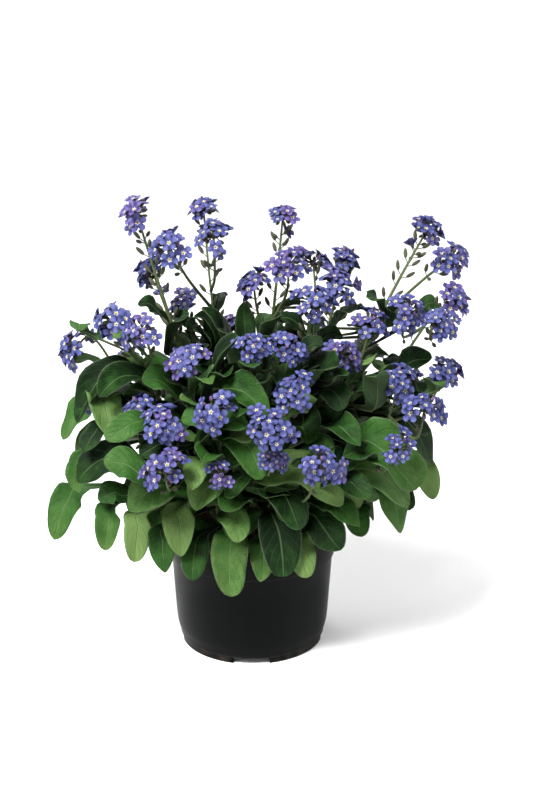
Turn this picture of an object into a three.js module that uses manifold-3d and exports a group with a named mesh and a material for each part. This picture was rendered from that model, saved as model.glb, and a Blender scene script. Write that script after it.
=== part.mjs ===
// A potted myosotis: leafy stems with round heads of small blue flowers, in a black nursery pot.
// Millimetres, +Z up. The origin is on the pot's axis, at the surface that the pot stands on, and
// the side that is seen first looks towards -Y.
import * as THREE from "three";
import { mergeGeometries, mergeVertices } from "three/addons/utils/BufferGeometryUtils.js";
import Module from "manifold-3d";

const wasm = await Module();
wasm.setup();

// The pot: an ordinary 10.5 cm nursery pot.
const RIM_RADIUS = 52.5;
const POT_HEIGHT = 74;
const WALL = 1.3;
const COLLAR_HEIGHT = 16.5; // the wider band under the rim
const COLLAR_STEP = 1.2; // how far the collar stands proud of the wall
const WALL_FOOT_RADIUS = 47.8; // the wall where it starts to round in
const WALL_FOOT_HEIGHT = 18;
const FOOT_RING_RADIUS = 44.5;
const FOOT_RING_WIDTH = 2.2;
const FLOOR_UNDERSIDE = 4.8;
const FLOOR_THICKNESS = 1.6;
const NOTCH_WIDTH = 22; // four drainage notches in the foot ring
const NOTCH_HEIGHT = 4;
const RIM_SLOPE = 0.9; // how much wider the collar is at the rim than at its bottom
const DRAIN_HOLE_RADIUS = 4;
const DRAIN_HOLE_RING = 32;
const POT_SIDES = 24;

// The soil, and the holes that the stems stand in.
const CLEARANCE = 0.3;
const SOIL_EDGE_HEIGHT = 67;
const SOIL_MIDDLE_HEIGHT = 70;
const HOLE_DEPTH = 8;
const HOLE_CLEARANCE = 1.1;

// The shoots.
const STEM_RADIUS = 2; // at the foot
const TIP_RADIUS = 0.8;
const SIDE_SHOOT_RADIUS = 1.2;

// The leaves.
const LEAF_THICKNESS = 1.3; // along the midrib
const LEAF_FOLD = 0.22; // how far the edges rise, for each millimetre of half width
const LEAF_ROWS = [0, 0.3, 0.62, 0.88, 1]; // along the leaf, from its root to its tip
const LEAF_WIDTHS = [0.1, 0.5, 1, 0.82, 0]; // the width there, as a share of the widest
const LEAF_SAMPLE_ROWS = 13; // of points that stand for a blade when it is kept clear
const LEAF_ROLL = 38; // degrees that a leaf at either side shows more of its face to the front or back
const LEAF_ARCH = 0.18; // how high the blade's middle arches, for each millimetre of its length
const LEAF_GAP = 2.8; // kept between points of the leaves of different stems
const LEAF_GAP_ON_STEM = 3.2; // kept between the outer parts of the leaves of one stem
const LEAF_TURNS = [0, 4, -4, 8, -8, 13, -13, 18, -18]; // degrees that a leaf may turn to stay clear
const LEAF_LIFTS = [0, 5, -5, 10, -10, 15]; // millimetres that it may rise or sink
const SHOOT_GAP = 3; // kept between points of a leaf and the middle of another stem's shoot
const OUTER_SAMPLES = 10; // the first of a leaf's sample points that lie in its outer part
const LAST_LEAF_SHARE = 0.8; // no leaf grows above this share of a shoot
const LEAF_PLACES = 20; // along each shoot
const ROOT_INWARDS = 0.72; // where a leaf looks for its shoot, as a share of its start's radius
const ROOT_BELOW = 8;

// The flower heads.
const CORE_RADIUS = 3.2; // to its corners
const CORE_FACET = 0.795 * CORE_RADIUS; // to the middle of a facet
const FLOWER_DISTANCE = 7.6; // from the middle of a head to the face of its flowers
const FLOWER_RADIUS = 4.6;
const FLOWER_NOTCH = 0.62; // the notch between two lobes, as a share of the radius
const LOBE_HALF_ANGLE = 19; // degrees
const THROAT_DEPTH = 0.7;
const HEAD_REACH = 9; // from the middle of a head to the furthest lobe

// Each stem: where its foot stands in the soil, and its shoots. A shoot leaves an earlier shoot "on"
// a share "at" of its length, goes through its bends, and ends in a head of "flowers" flowers, of
// relative size "size". A small head is part of its stem's own piece.
const STEMS = {
  left_top: {
    foot: [-9, 6],
    shoots: [
      { bends: [[-22, 2, 126], [-48, -8, 208]], head: [-65, -15, 269], flowers: 5, size: 1.0 },
      { on: 0, at: 0.12, bends: [[-17, 14, 146], [-25, 24, 218]], head: [-29, 30, 265], flowers: 5, size: 1.0 },
      { on: 1, at: 0.66, bends: [[-22, 12, 228]], head: [-22, 4, 254], flowers: 5, size: 1.1 },
      { on: 1, at: 0.6, bends: [[-37, -6, 230]], head: [-46, -25, 252], flowers: 5, size: 1.1 },
      { on: 0, at: 0.58, bends: [[-54, 6, 218]], head: [-59, 10, 232], flowers: 5, size: 1.0 },
    ],
  },
  left_back: {
    foot: [-7, 15],
    shoots: [
      { bends: [[-22, 28, 126], [-36, 34, 181]], head: [-42, 35, 207], flowers: 4, size: 1.0 },
      { on: 0, at: 0.3, bends: [[-48, 38, 131]], head: [-80, 46, 168], flowers: 4, size: 0.95 },
      { on: 0, at: 0.22, bends: [[-26, 50, 126]], head: [-44, 64, 172], flowers: 4, size: 1.05 },
      { on: 2, at: 0.4, bends: [[-26, 74, 122]], head: [-30, 92, 142], flowers: 3, size: 1.0 },
    ],
  },
  left_out: {
    foot: [-17, 3],
    shoots: [
      { bends: [[-40, -8, 121], [-62, -22, 178]], head: [-78, -35, 211], flowers: 5, size: 1.1 },
      { on: 0, at: 0.68, bends: [[-57, -38, 192]], head: [-60, -50, 209], flowers: 5, size: 1.1 },
      { on: 0, at: 0.3, bends: [[-64, -2, 141], [-92, -4, 192]], head: [-106, -10, 189], flowers: 5, size: 1.0 },
      { on: 2, at: 0.5, bends: [[-84, -18, 154]], head: [-91, -28, 160], flowers: 3, size: 0.7, small: true },
    ],
  },
  left_front: {
    foot: [-16, -7],
    shoots: [
      { bends: [[-26, -24, 121], [-33, -42, 168]], head: [-35, -50, 191], flowers: 5, size: 1.1 },
      { on: 0, at: 0.45, bends: [[-52, -38, 142]], head: [-64, -45, 162], flowers: 5, size: 0.9 },
      { on: 0, at: 0.28, bends: [[-38, -52, 126]], head: [-48, -68, 160], flowers: 5, size: 1.1 },
      { on: 2, at: 0.45, bends: [[-45, -70, 122]], head: [-47, -84, 139], flowers: 5, size: 1.15 },
    ],
  },
  front_left: {
    foot: [-7, -12],
    shoots: [
      { bends: [[-13, -42, 114], [-18, -66, 149]], head: [-19, -80, 172], flowers: 5, size: 1.15 },
      { on: 0, at: 0.5, bends: [[-17, -66, 120]], head: [-17, -78, 134], flowers: 3, size: 0.75, small: true },
    ],
  },
  front_middle: {
    foot: [0, -5],
    shoots: [
      { bends: [[1, -26, 126], [0, -44, 176]], head: [1, -56, 201], flowers: 5, size: 0.95 },
      { on: 0, at: 0.78, bends: [[12, -48, 186]], head: [20, -55, 201], flowers: 5, size: 0.95 },
    ],
  },
  front_right: {
    foot: [6, -14],
    shoots: [
      { bends: [[14, -42, 114], [20, -60, 156]], head: [24, -74, 181], flowers: 5, size: 1.1 },
      { on: 0, at: 0.55, bends: [[13, -74, 146]], head: [11, -88, 164], flowers: 5, size: 1.15 },
      { on: 0, at: 0.3, bends: [[30, -66, 114]], head: [39, -91, 144], flowers: 5, size: 1.15 },
      { on: 1, at: 0.4, bends: [[10, -72, 132]], head: [13, -80, 143], flowers: 3, size: 0.7, small: true },
    ],
  },
  middle_top: {
    foot: [2, 5],
    shoots: [
      { bends: [[6, 12, 136], [14, 24, 211]], head: [19, 30, 261], flowers: 5, size: 1.0 },
      { on: 0, at: 0.6, bends: [[21, 10, 218]], head: [22, 0, 237], flowers: 5, size: 1.1 },
      { on: 0, at: 0.55, bends: [[4, 17, 204]], head: [1, 18, 223], flowers: 5, size: 1.0 },
    ],
  },
  right_middle: {
    foot: [9, 1],
    shoots: [
      { bends: [[22, -6, 131], [32, -20, 191]], head: [36, -30, 221], flowers: 5, size: 1.1 },
      { on: 0, at: 0.6, bends: [[45, -10, 202]], head: [51, -8, 227], flowers: 5, size: 1.05 },
      { on: 0, at: 0.25, bends: [[36, 12, 156], [51, 24, 211]], head: [57, 30, 235], flowers: 5, size: 1.0 },
      { on: 2, at: 0.6, bends: [[41, 36, 208]], head: [38, 45, 230], flowers: 5, size: 1.0 },
    ],
  },
  right_inner: {
    foot: [15, -8],
    shoots: [
      { bends: [[40, -14, 126], [62, -18, 178]], head: [70, -20, 206], flowers: 5, size: 1.0 },
      { on: 0, at: 0.5, bends: [[50, -28, 168]], head: [52, -36, 191], flowers: 5, size: 1.0 },
      { on: 0, at: 0.3, bends: [[66, -34, 131], [80, -38, 156]], head: [84, -42, 178], flowers: 5, size: 1.1 },
      { on: 2, at: 0.66, bends: [[94, -50, 146]], head: [98, -58, 166], flowers: 5, size: 1.05 },
      { on: 2, at: 0.6, bends: [[102, -28, 158]], head: [113, -24, 177], flowers: 5, size: 1.05 },
      { on: 2, at: 0.45, bends: [[74, -62, 130]], head: [83, -72, 148], flowers: 5, size: 0.9 },
    ],
  },
  right_tall: {
    foot: [17, 2],
    shoots: [
      { bends: [[46, 10, 138], [86, 24, 216]], head: [106, 30, 252], flowers: 5, size: 1.1 },
      { on: 0, at: 0.58, bends: [[104, 8, 228]], head: [117, -8, 242], flowers: 5, size: 1.05 },
      { on: 0, at: 0.32, bends: [[80, -4, 168], [106, -10, 208]], head: [118, -17, 219], flowers: 5, size: 1.05 },
      { on: 2, at: 0.6, bends: [[88, -26, 200]], head: [90, -36, 217], flowers: 5, size: 0.95 },
      { on: 2, at: 0.7, bends: [[104, -24, 198]], head: [108, -38, 210], flowers: 5, size: 0.95 },
    ],
  },
  right_back: {
    foot: [12, 12],
    shoots: [
      { bends: [[24, 36, 124], [38, 58, 162]], head: [44, 70, 180], flowers: 4, size: 1.0 },
      { on: 0, at: 0.4, bends: [[56, 46, 141]], head: [74, 58, 172], flowers: 4, size: 1.05 },
      { on: 1, at: 0.3, bends: [[72, 32, 128]], head: [98, 36, 162], flowers: 4, size: 0.95 },
    ],
  },
  middle_back: {
    foot: [2, 16],
    shoots: [
      { bends: [[-2, 44, 124], [-8, 64, 162]], head: [-12, 74, 182], flowers: 4, size: 1.05 },
      { on: 0, at: 0.4, bends: [[8, 74, 134]], head: [14, 91, 160], flowers: 3, size: 1.0 },
    ],
  },
};

// Each leaf: where its blade starts to widen, where its tip is, and its widest width.
const LEAVES = [
  // hanging over the rim, from left to right
  [[-104, 16, 92], [-124, -6, 66], 26],
  [[-81, -35, 100], [-86, -48, 76], 12],
  [[-64, -40, 97], [-68, -56, 72], 13],
  [[-53, -45, 91], [-54, -62, 70], 13],
  [[-42, -50, 104], [-40, -66, 80], 15],
  [[-29, -48, 86], [-34, -66, 65], 13],
  [[-13, -50, 90], [-16, -68, 56], 17],
  [[1, -48, 84], [1, -66, 64], 13],
  [[12, -50, 99], [19, -68, 68], 19],
  [[26, -48, 86], [32, -66, 67], 13],
  [[34, -46, 100], [53, -60, 82], 18],
  [[55, -50, 101], [56, -64, 88], 12],
  // the broad ones in front, and the small ones between them
  [[-10, -62, 127], [34, -84, 115], 20],
  [[-15, -58, 103], [-6, -76, 94], 13],
  [[-36, -55, 118], [-68, -74, 112], 19],
  [[-64, -45, 126], [-102, -48, 120], 19],
  [[-70, -42, 109], [-90, -45, 108], 12],
  [[-2, -52, 109], [-16, -77, 114], 13],
  [[4, -60, 128], [-1, -80, 120], 10],
  [[-24, -60, 135], [-32, -82, 126], 12],
  [[-40, -50, 142], [-62, -66, 142], 14],
  [[33, -60, 123], [80, -72, 109], 23],
  [[49, -60, 126], [66, -82, 123], 13],
  [[40, -58, 112], [61, -76, 102], 13],
  // the left side
  [[-84, -28, 168], [-70, -58, 144], 15],
  [[-85, -35, 148], [-96, -50, 138], 10],
  [[-54, -58, 153], [-76, -72, 146], 13],
  [[-90, -8, 156], [-116, -12, 134], 15],
  [[-90, 4, 136], [-108, -6, 118], 13],
  [[-98, -15, 124], [-105, -25, 104], 12],
  [[-79, -12, 182], [-106, -22, 152], 13],
  [[-62, -20, 174], [-92, -36, 170], 13],
  [[-49, -8, 187], [-38, -22, 214], 12],
  [[-24, -38, 166], [-6, -52, 206], 19],
  [[-16, -55, 177], [10, -74, 168], 14],
  [[18, -30, 187], [6, -58, 174], 12],
  [[-38, -55, 138], [-12, -78, 158], 14],
  [[-15, -60, 152], [12, -78, 132], 17],
  [[-26, -50, 154], [-38, -68, 176], 13],
  [[-22, -10, 192], [-32, -8, 210], 12],
  // the right side
  [[32, -45, 174], [50, -62, 192], 17],
  [[27, -48, 172], [38, -68, 166], 13],
  [[45, -50, 152], [60, -78, 154], 14],
  [[80, -4, 201], [68, -22, 224], 10],
  [[86, -15, 178], [106, -20, 186], 12],
  [[72, -42, 162], [74, -60, 186], 12],
  [[64, -50, 146], [94, -64, 120], 23],
  [[83, -30, 154], [108, -36, 126], 15],
  [[96, -22, 126], [107, -38, 104], 12],
  [[71, -35, 117], [88, -50, 88], 15],
  [[82, -26, 120], [94, -34, 96], 15],
  [[52, -38, 162], [64, -56, 178], 14],
  [[47, -2, 196], [60, -12, 216], 12],
  [[30, 0, 181], [16, -14, 201], 12],
];

// Rings of leaves that go on round the back, and that fill the front between the listed ones: how
// many, the bearings that they span in degrees, and the radius and height of each blade's start and
// tip. Each leaf of a ring is a little off its even place.
const RING_BEARING_SPREAD = 10; // degrees
const RING_SWEEP_SPREAD = 17; // degrees between a blade's own heading and its bearing
const RING_RISE_SPREAD = 10;
const RING_WIDTH_SPREAD = 0.3;
const LEAF_RINGS = [
  { count: 9, span: [6, 174], start: [52, 96], tip: [78, 70], width: 17 },
  { count: 8, span: [14, 166], start: [64, 124], tip: [102, 108], width: 19 },
  { count: 7, span: [20, 160], start: [56, 146], tip: [90, 144], width: 18 },
  { count: 5, span: [38, 142], start: [40, 164], tip: [62, 180], width: 16 },
  { count: 6, span: [196, 344], start: [42, 92], tip: [60, 78], width: 17 },
  { count: 6, span: [186, 354], start: [52, 118], tip: [82, 104], width: 18 },
  { count: 5, span: [192, 348], start: [44, 148], tip: [68, 148], width: 17 },
];

const POT = new THREE.MeshStandardMaterial({ color: 0x1a1b1d, roughness: 0.42, metalness: 0 });
const SOIL = new THREE.MeshStandardMaterial({ color: 0x3b2a20, roughness: 1, metalness: 0 });
const LEAF = new THREE.MeshStandardMaterial({ color: 0x3c6a2c, roughness: 0.6, metalness: 0 });
const FLOWER = new THREE.MeshStandardMaterial({ color: 0x6a72cc, roughness: 0.7, metalness: 0 });

// A repeatable number from 0 to 1 for each whole number.
function draw(n) {
  const far = Math.sin(n * 12.9898 + 4.1) * 43758.5453;
  return far - Math.floor(far);
}

// A closed geometry with its vertices shared and the triangles that shrank to a line left out.
function closed(geometry) {
  const bare = geometry.clone();
  bare.deleteAttribute("normal");
  bare.deleteAttribute("uv");
  const merged = mergeVertices(bare, 1e-3);
  const corners = [...merged.index.array];
  const kept = [];
  for (let i = 0; i < corners.length; i += 3) {
    const [a, b, c] = corners.slice(i, i + 3);
    if (a !== b && b !== c && c !== a) kept.push(a, b, c);
  }
  return merged.setIndex(kept);
}

function toSolid(geometry) {
  const { attributes, index } = closed(geometry);
  return new wasm.Manifold(
    new wasm.Mesh({
      numProp: 3,
      vertProperties: new Float32Array(attributes.position.array),
      triVerts: new Uint32Array(index.array),
    }),
  );
}

function toGeometry(solid) {
  const made = solid.getMesh();
  return new THREE.BufferGeometry()
    .setAttribute("position", new THREE.BufferAttribute(made.vertProperties, 3))
    .setIndex(new THREE.BufferAttribute(made.triVerts, 1));
}

// One body of all the pieces: the outside of the largest, with nothing sealed inside it.
function joined(geometries) {
  const whole = geometries.map(toSolid).reduce((body, part) => body.add(part));
  return whole.decompose().reduce((largest, part) => (part.volume() > largest.volume() ? part : largest));
}

function piece(name, geometry, material) {
  const shown = geometry.toNonIndexed();
  shown.computeVertexNormals();
  const mesh = new THREE.Mesh(shown, material);
  mesh.name = name;
  return mesh;
}

// A profile of [radius, height] points, turned about the pot's axis.
function turned(profile) {
  const points = profile.map(([r, z]) => new THREE.Vector2(r, z));
  return new THREE.LatheGeometry(points, POT_SIDES).rotateX(Math.PI / 2);
}

// The wall's outer radius at a height above where it rounds in.
function wallRadius(z) {
  const top = RIM_RADIUS - COLLAR_STEP - RIM_SLOPE;
  const share = (z - WALL_FOOT_HEIGHT) / (POT_HEIGHT - COLLAR_HEIGHT - WALL_FOOT_HEIGHT);
  return WALL_FOOT_RADIUS + (top - WALL_FOOT_RADIUS) * share;
}

const COLLAR_BOTTOM = POT_HEIGHT - COLLAR_HEIGHT;
const FLOOR_TOP = FLOOR_UNDERSIDE + FLOOR_THICKNESS;

function pot() {
  const wallTop = wallRadius(COLLAR_BOTTOM);
  const outside = [
    [0, FLOOR_UNDERSIDE],
    [FOOT_RING_RADIUS - FOOT_RING_WIDTH, FLOOR_UNDERSIDE],
    [FOOT_RING_RADIUS - FOOT_RING_WIDTH, 0],
    [FOOT_RING_RADIUS, 0],
    [FOOT_RING_RADIUS, 5],
    [FOOT_RING_RADIUS + 1.8, 7.5],
    [WALL_FOOT_RADIUS - 0.7, 12.5],
    [WALL_FOOT_RADIUS, WALL_FOOT_HEIGHT],
    [wallTop, COLLAR_BOTTOM],
    [wallTop + COLLAR_STEP, COLLAR_BOTTOM + 0.4],
    [RIM_RADIUS, POT_HEIGHT - 0.6],
    [RIM_RADIUS - 0.5, POT_HEIGHT],
  ];
  const inside = [
    [RIM_RADIUS - WALL, POT_HEIGHT],
    [wallTop + COLLAR_STEP - WALL, COLLAR_BOTTOM + 2],
    [wallTop - WALL, COLLAR_BOTTOM - 1],
    [WALL_FOOT_RADIUS - WALL, WALL_FOOT_HEIGHT],
    [FOOT_RING_RADIUS, 9],
    [FOOT_RING_RADIUS - 2, FLOOR_TOP],
    [0, FLOOR_TOP],
  ];
  let body = toSolid(turned([...outside, ...inside]));
  const across = 2 * FOOT_RING_RADIUS + 10;
  for (const turn of [0, Math.PI / 2]) {
    const notch = new THREE.BoxGeometry(NOTCH_WIDTH, across, 2 * NOTCH_HEIGHT).rotateZ(turn);
    body = body.subtract(toSolid(notch));
  }
  for (const bearing of [45, 135, 225, 315]) {
    const angle = THREE.MathUtils.degToRad(bearing);
    const hole = new THREE.CylinderGeometry(DRAIN_HOLE_RADIUS, DRAIN_HOLE_RADIUS, 10, 8)
      .rotateX(Math.PI / 2)
      .translate(DRAIN_HOLE_RING * Math.cos(angle), DRAIN_HOLE_RING * Math.sin(angle), FLOOR_TOP - 2);
    body = body.subtract(toSolid(hole));
  }
  return body;
}

function soil(stems) {
  const wallTop = wallRadius(COLLAR_BOTTOM);
  const clear = WALL + CLEARANCE;
  let body = toSolid(
    turned([
      [0, FLOOR_TOP + CLEARANCE],
      [FOOT_RING_RADIUS - 2.6, FLOOR_TOP + CLEARANCE],
      [WALL_FOOT_RADIUS - clear, WALL_FOOT_HEIGHT],
      [wallTop - clear, COLLAR_BOTTOM - 1],
      [wallTop + COLLAR_STEP - clear - 0.1, COLLAR_BOTTOM + 2.2],
      [wallTop + COLLAR_STEP - clear, SOIL_EDGE_HEIGHT],
      [0, SOIL_MIDDLE_HEIGHT],
    ]),
  );
  for (const { shoots } of Object.values(stems)) {
    const foot = tubePoint(shoots[0], 0);
    const along = shoots[0].line.getPoint(1 / shoots[0].rows).sub(foot).normalize();
    const radius = STEM_RADIUS + HOLE_CLEARANCE;
    const hole = new THREE.CylinderGeometry(radius, radius, 2 * HOLE_DEPTH, 5)
      .translate(0, HOLE_DEPTH - 2 * CLEARANCE, 0)
      .applyQuaternion(new THREE.Quaternion().setFromUnitVectors(new THREE.Vector3(0, 1, 0), along))
      .translate(foot.x, foot.y, foot.z);
    body = body.subtract(toSolid(hole));
  }
  return body;
}

// A shoot: from its foot in the soil, or from the shoot that it leaves, through its bends, to just
// under its head. Its tube follows the line in straight rows.
function growShoot(stem, shoot, earlier) {
  const foot = new THREE.Vector3(...stem.foot, SOIL_MIDDLE_HEIGHT - HOLE_DEPTH);
  const start = shoot.on === undefined ? foot : tubePoint(earlier[shoot.on], shoot.at);
  const bends = shoot.bends.map((bend) => new THREE.Vector3(...bend));
  const middle = new THREE.Vector3(...shoot.head);
  const inwards = bends.at(-1).clone().sub(middle).normalize();
  const reach = shoot.small ? 0 : CORE_FACET * shoot.size + CLEARANCE;
  const end = middle.clone().addScaledVector(inwards, reach);
  const line = new THREE.CatmullRomCurve3([start, ...bends, end], false, "catmullrom", 0.5);
  const [thick, sides, rows] =
    shoot.on === undefined ? [STEM_RADIUS, 5, 8] : [SIDE_SHOOT_RADIUS, 3, bends.length + 2];
  return { line, thick, sides, rows };
}

// A point on the middle of a shoot's tube.
function tubePoint({ line, rows }, share) {
  const row = Math.min(Math.floor(share * rows), rows - 1);
  return line.getPoint(row / rows).lerp(line.getPoint((row + 1) / rows), share * rows - row);
}

function shootTube({ line, thick, sides, rows }) {
  const tube = new THREE.CylinderGeometry(1, 1, 1, sides, rows);
  const place = tube.attributes.position;
  const [start, end] = [line.points[0], line.points.at(-1)];
  const level = new THREE.Vector3(end.y - start.y, start.x - end.x, 0);
  for (let i = 0; i < place.count; i++) {
    const share = place.getY(i) + 0.5;
    const along = line.getTangent(share);
    const side = level.clone().addScaledVector(along, -level.dot(along)).normalize();
    const other = new THREE.Vector3().crossVectors(side, along);
    const radius = thick + (TIP_RADIUS - thick) * share;
    const spot = line
      .getPoint(share)
      .addScaledVector(side, radius * place.getX(i))
      .addScaledVector(other, radius * place.getZ(i));
    place.setXYZ(i, spot.x, spot.y, spot.z);
  }
  return tube;
}

// The centre line of a leaf: from its root on a stem to where the blade widens, and on to its tip in
// a low arch.
function leafLine(root, start, tip) {
  const crown = start.clone().lerp(tip, 0.5);
  crown.z += LEAF_ARCH * start.distanceTo(tip);
  return new THREE.CatmullRomCurve3([root, start, crown, tip], false, "catmullrom", 0.5);
}

// Half the width of a blade at a share of its length.
function leafHalfWidth(leaf, share) {
  let row = 1;
  while (row < LEAF_ROWS.length - 1 && share > LEAF_ROWS[row]) row++;
  const part = (share - LEAF_ROWS[row - 1]) / (LEAF_ROWS[row] - LEAF_ROWS[row - 1]);
  const width = LEAF_WIDTHS[row - 1] + (LEAF_WIDTHS[row] - LEAF_WIDTHS[row - 1]) * part;
  return 0.5 * leaf.width * width;
}

// A point of the blade: share is along the leaf, across goes from -1 at one edge to 1 at the other,
// and lift is along the blade's normal.
function leafPoint(leaf, share, across, lift) {
  const along = leaf.line.getTangent(share);
  const side = new THREE.Vector3(leaf.heading.y, -leaf.heading.x, 0);
  side.applyAxisAngle(along, leaf.roll);
  const normal = new THREE.Vector3().crossVectors(side, along).normalize();
  const half = leafHalfWidth(leaf, share);
  return leaf.line
    .getPoint(share)
    .addScaledVector(side, across * half)
    .addScaledVector(normal, Math.abs(across) * LEAF_FOLD * half + lift);
}

// A blade is one grid of triangles above and the same grid below, which meet all round its edge.
function leafBlade(leaf) {
  const rows = LEAF_ROWS.length - 1;
  const faces = [1, -1].map((face) => {
    const grid = new THREE.PlaneGeometry(2, rows, 2, rows);
    const place = grid.attributes.position;
    for (let i = 0; i < place.count; i++) {
      const row = Math.round(place.getY(i) + rows / 2);
      const across = place.getX(i);
      const onEdge = row === 0 || row === rows || across !== 0;
      const lift = onEdge ? 0 : (face * LEAF_THICKNESS) / 2;
      const spot = leafPoint(leaf, LEAF_ROWS[row], across, lift);
      place.setXYZ(i, spot.x, spot.y, spot.z);
    }
    if (face < 0) grid.setIndex([...grid.index.array].reverse());
    return grid;
  });
  return mergeGeometries(faces);
}

// The places where leaves can grow: points along every shoot, short of its head.
function growthPoints(stems) {
  const points = [];
  for (const [owner, { shoots }] of Object.entries(stems)) {
    for (const shoot of shoots) {
      for (let i = 1; i <= LEAF_PLACES; i++) {
        points.push({ owner, spot: tubePoint(shoot, (LAST_LEAF_SHARE * i) / LEAF_PLACES) });
      }
    }
  }
  return points;
}

// A leaf grows from the nearest shoot, seen from a little inside and below its start.
function nearestShoot(growth, start) {
  const from = new THREE.Vector3(start.x * ROOT_INWARDS, start.y * ROOT_INWARDS, start.z - ROOT_BELOW);
  return growth.reduce((best, point) =>
    point.spot.distanceTo(from) < best.spot.distanceTo(from) ? point : best,
  );
}

// A leaf of the list, turned about the pot's axis and lifted.
function leafFrom([start, tip, width], turn, lift, growth) {
  const axis = new THREE.Vector3(0, 0, 1);
  const angle = THREE.MathUtils.degToRad(turn);
  const [from, to] = [start, tip].map((place) => {
    const spot = new THREE.Vector3(...place).applyAxisAngle(axis, angle);
    spot.z += lift;
    return spot;
  });
  const { owner, spot } = nearestShoot(growth, from);
  const heading = to.clone().sub(from).setZ(0).normalize();
  const roll = THREE.MathUtils.degToRad(LEAF_ROLL) * heading.x * -Math.sign(from.y);
  return { owner, width, heading, roll, line: leafLine(spot, from, to) };
}

// Points spread over a blade, from just outside its root to its tip.
function leafSamples(leaf) {
  const points = [];
  for (let i = 2; i <= LEAF_SAMPLE_ROWS; i++) {
    for (const across of [-1, -0.5, 0, 0.5, 1]) {
      points.push(leafPoint(leaf, i / LEAF_SAMPLE_ROWS, across, 0));
    }
  }
  return points;
}

// How far the nearest point of a leaf is outside everything that another piece holds, and outside the
// outer part of the other leaves on its own stem.
function room(samples, owner, held) {
  const box = new THREE.Box3().setFromPoints(samples);
  const outer = samples.slice(OUTER_SAMPLES);
  let least = Infinity;
  for (const other of held) {
    const sameStem = other.owner === owner;
    if (sameStem && !other.leaf) continue;
    const radius = sameStem ? LEAF_GAP_ON_STEM : other.radius;
    const near = box.clone().expandByScalar(radius);
    for (const point of sameStem ? other.points.slice(OUTER_SAMPLES) : other.points) {
      if (!near.containsPoint(point)) continue;
      for (const sample of sameStem ? outer : samples) {
        least = Math.min(least, sample.distanceTo(point) - radius);
      }
    }
  }
  return least;
}

// Every leaf in turn steps aside, by small turns and lifts, until it is clear of the heads, of the
// other stems and of the leaves that they hold.
function growLeaves(stems, heads) {
  const growth = growthPoints(stems);
  const held = heads.map(({ name, middle, size }) => ({
    owner: name,
    points: [middle],
    radius: HEAD_REACH * size + CLEARANCE,
  }));
  for (const [owner, { shoots }] of Object.entries(stems)) {
    for (const { line } of shoots) held.push({ owner, points: line.getPoints(40), radius: SHOOT_GAP });
  }
  const leaves = [];
  for (const place of [...LEAVES, ...LEAF_RINGS.flatMap(ring)]) {
    let best = { space: -Infinity };
    for (const lift of LEAF_LIFTS) {
      for (const turn of LEAF_TURNS) {
        if (best.space >= 0) continue;
        const leaf = leafFrom(place, turn, lift, growth);
        const samples = leafSamples(leaf);
        const space = room(samples, leaf.owner, held);
        if (space > best.space) best = { leaf, samples, space };
      }
    }
    leaves.push(best.leaf);
    held.push({ owner: best.leaf.owner, points: best.samples, radius: LEAF_GAP, leaf: true });
  }
  return leaves;
}

// The leaves of one ring.
function ring({ count, span, start, tip, width }, index) {
  return Array.from({ length: count }, (_, i) => {
    const seed = 31 * index + i;
    const even = span[0] + ((span[1] - span[0]) * (i + 0.5)) / count;
    const [turnDraw, sweepDraw, riseDraw, widthDraw] = [0, 200, 400, 600].map((n) => draw(seed + n) - 0.5);
    const bearing = THREE.MathUtils.degToRad(even + RING_BEARING_SPREAD * turnDraw);
    const sweep = bearing + THREE.MathUtils.degToRad(RING_SWEEP_SPREAD * sweepDraw);
    const rise = RING_RISE_SPREAD * riseDraw;
    return [
      [start[0] * Math.cos(bearing), start[0] * Math.sin(bearing), start[1] + rise],
      [tip[0] * Math.cos(sweep), tip[0] * Math.sin(sweep), tip[1] + rise],
      width * (1 + RING_WIDTH_SPREAD * widthDraw),
    ];
  });
}

// A head is a small twenty-sided core. Its triangles that face out like the corners of a cube are
// drawn out into flowers, one for each number up to "flowers", and the corner at the shoot stays bare.
function flowerHead({ middle, along, flowers, size, seed }) {
  const core = closed(new THREE.IcosahedronGeometry(CORE_RADIUS, 0));
  const points = [];
  for (let i = 0; i < core.attributes.position.count; i++) {
    points.push(new THREE.Vector3().fromBufferAttribute(core.attributes.position, i));
  }
  const outwards = new THREE.Vector3(1, 1, 1).normalize();
  const facets = [];
  for (let i = 0; i < core.index.count; i += 3) {
    const facet = [0, 1, 2].map((k) => core.index.getX(i + k));
    const out = facet.reduce((sum, c) => sum.add(points[c]), new THREE.Vector3()).normalize();
    const atCorner = Math.min(Math.abs(out.x), Math.abs(out.y), Math.abs(out.z)) > 0.5;
    facets.push({ facet, out, rank: atCorner ? out.dot(outwards) : -2 });
  }
  facets.sort((a, b) => b.rank - a.rank);
  const triangles = facets.slice(flowers).flatMap(({ facet }) => facet);
  facets.slice(0, flowers).forEach(({ facet, out }, index) => {
    const radius = FLOWER_RADIUS * (0.94 + 0.1 * draw(seed + 7 * index));
    triangles.push(...flower(points, facet, out, radius));
  });
  const turn = new THREE.Quaternion()
    .setFromUnitVectors(outwards, along)
    .multiply(new THREE.Quaternion().setFromAxisAngle(outwards, 2 * Math.PI * draw(seed)));
  const spots = points.map((point) => point.multiplyScalar(size).applyQuaternion(turn).add(middle));
  return new THREE.BufferGeometry().setFromPoints(spots).setIndex(triangles);
}

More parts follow.
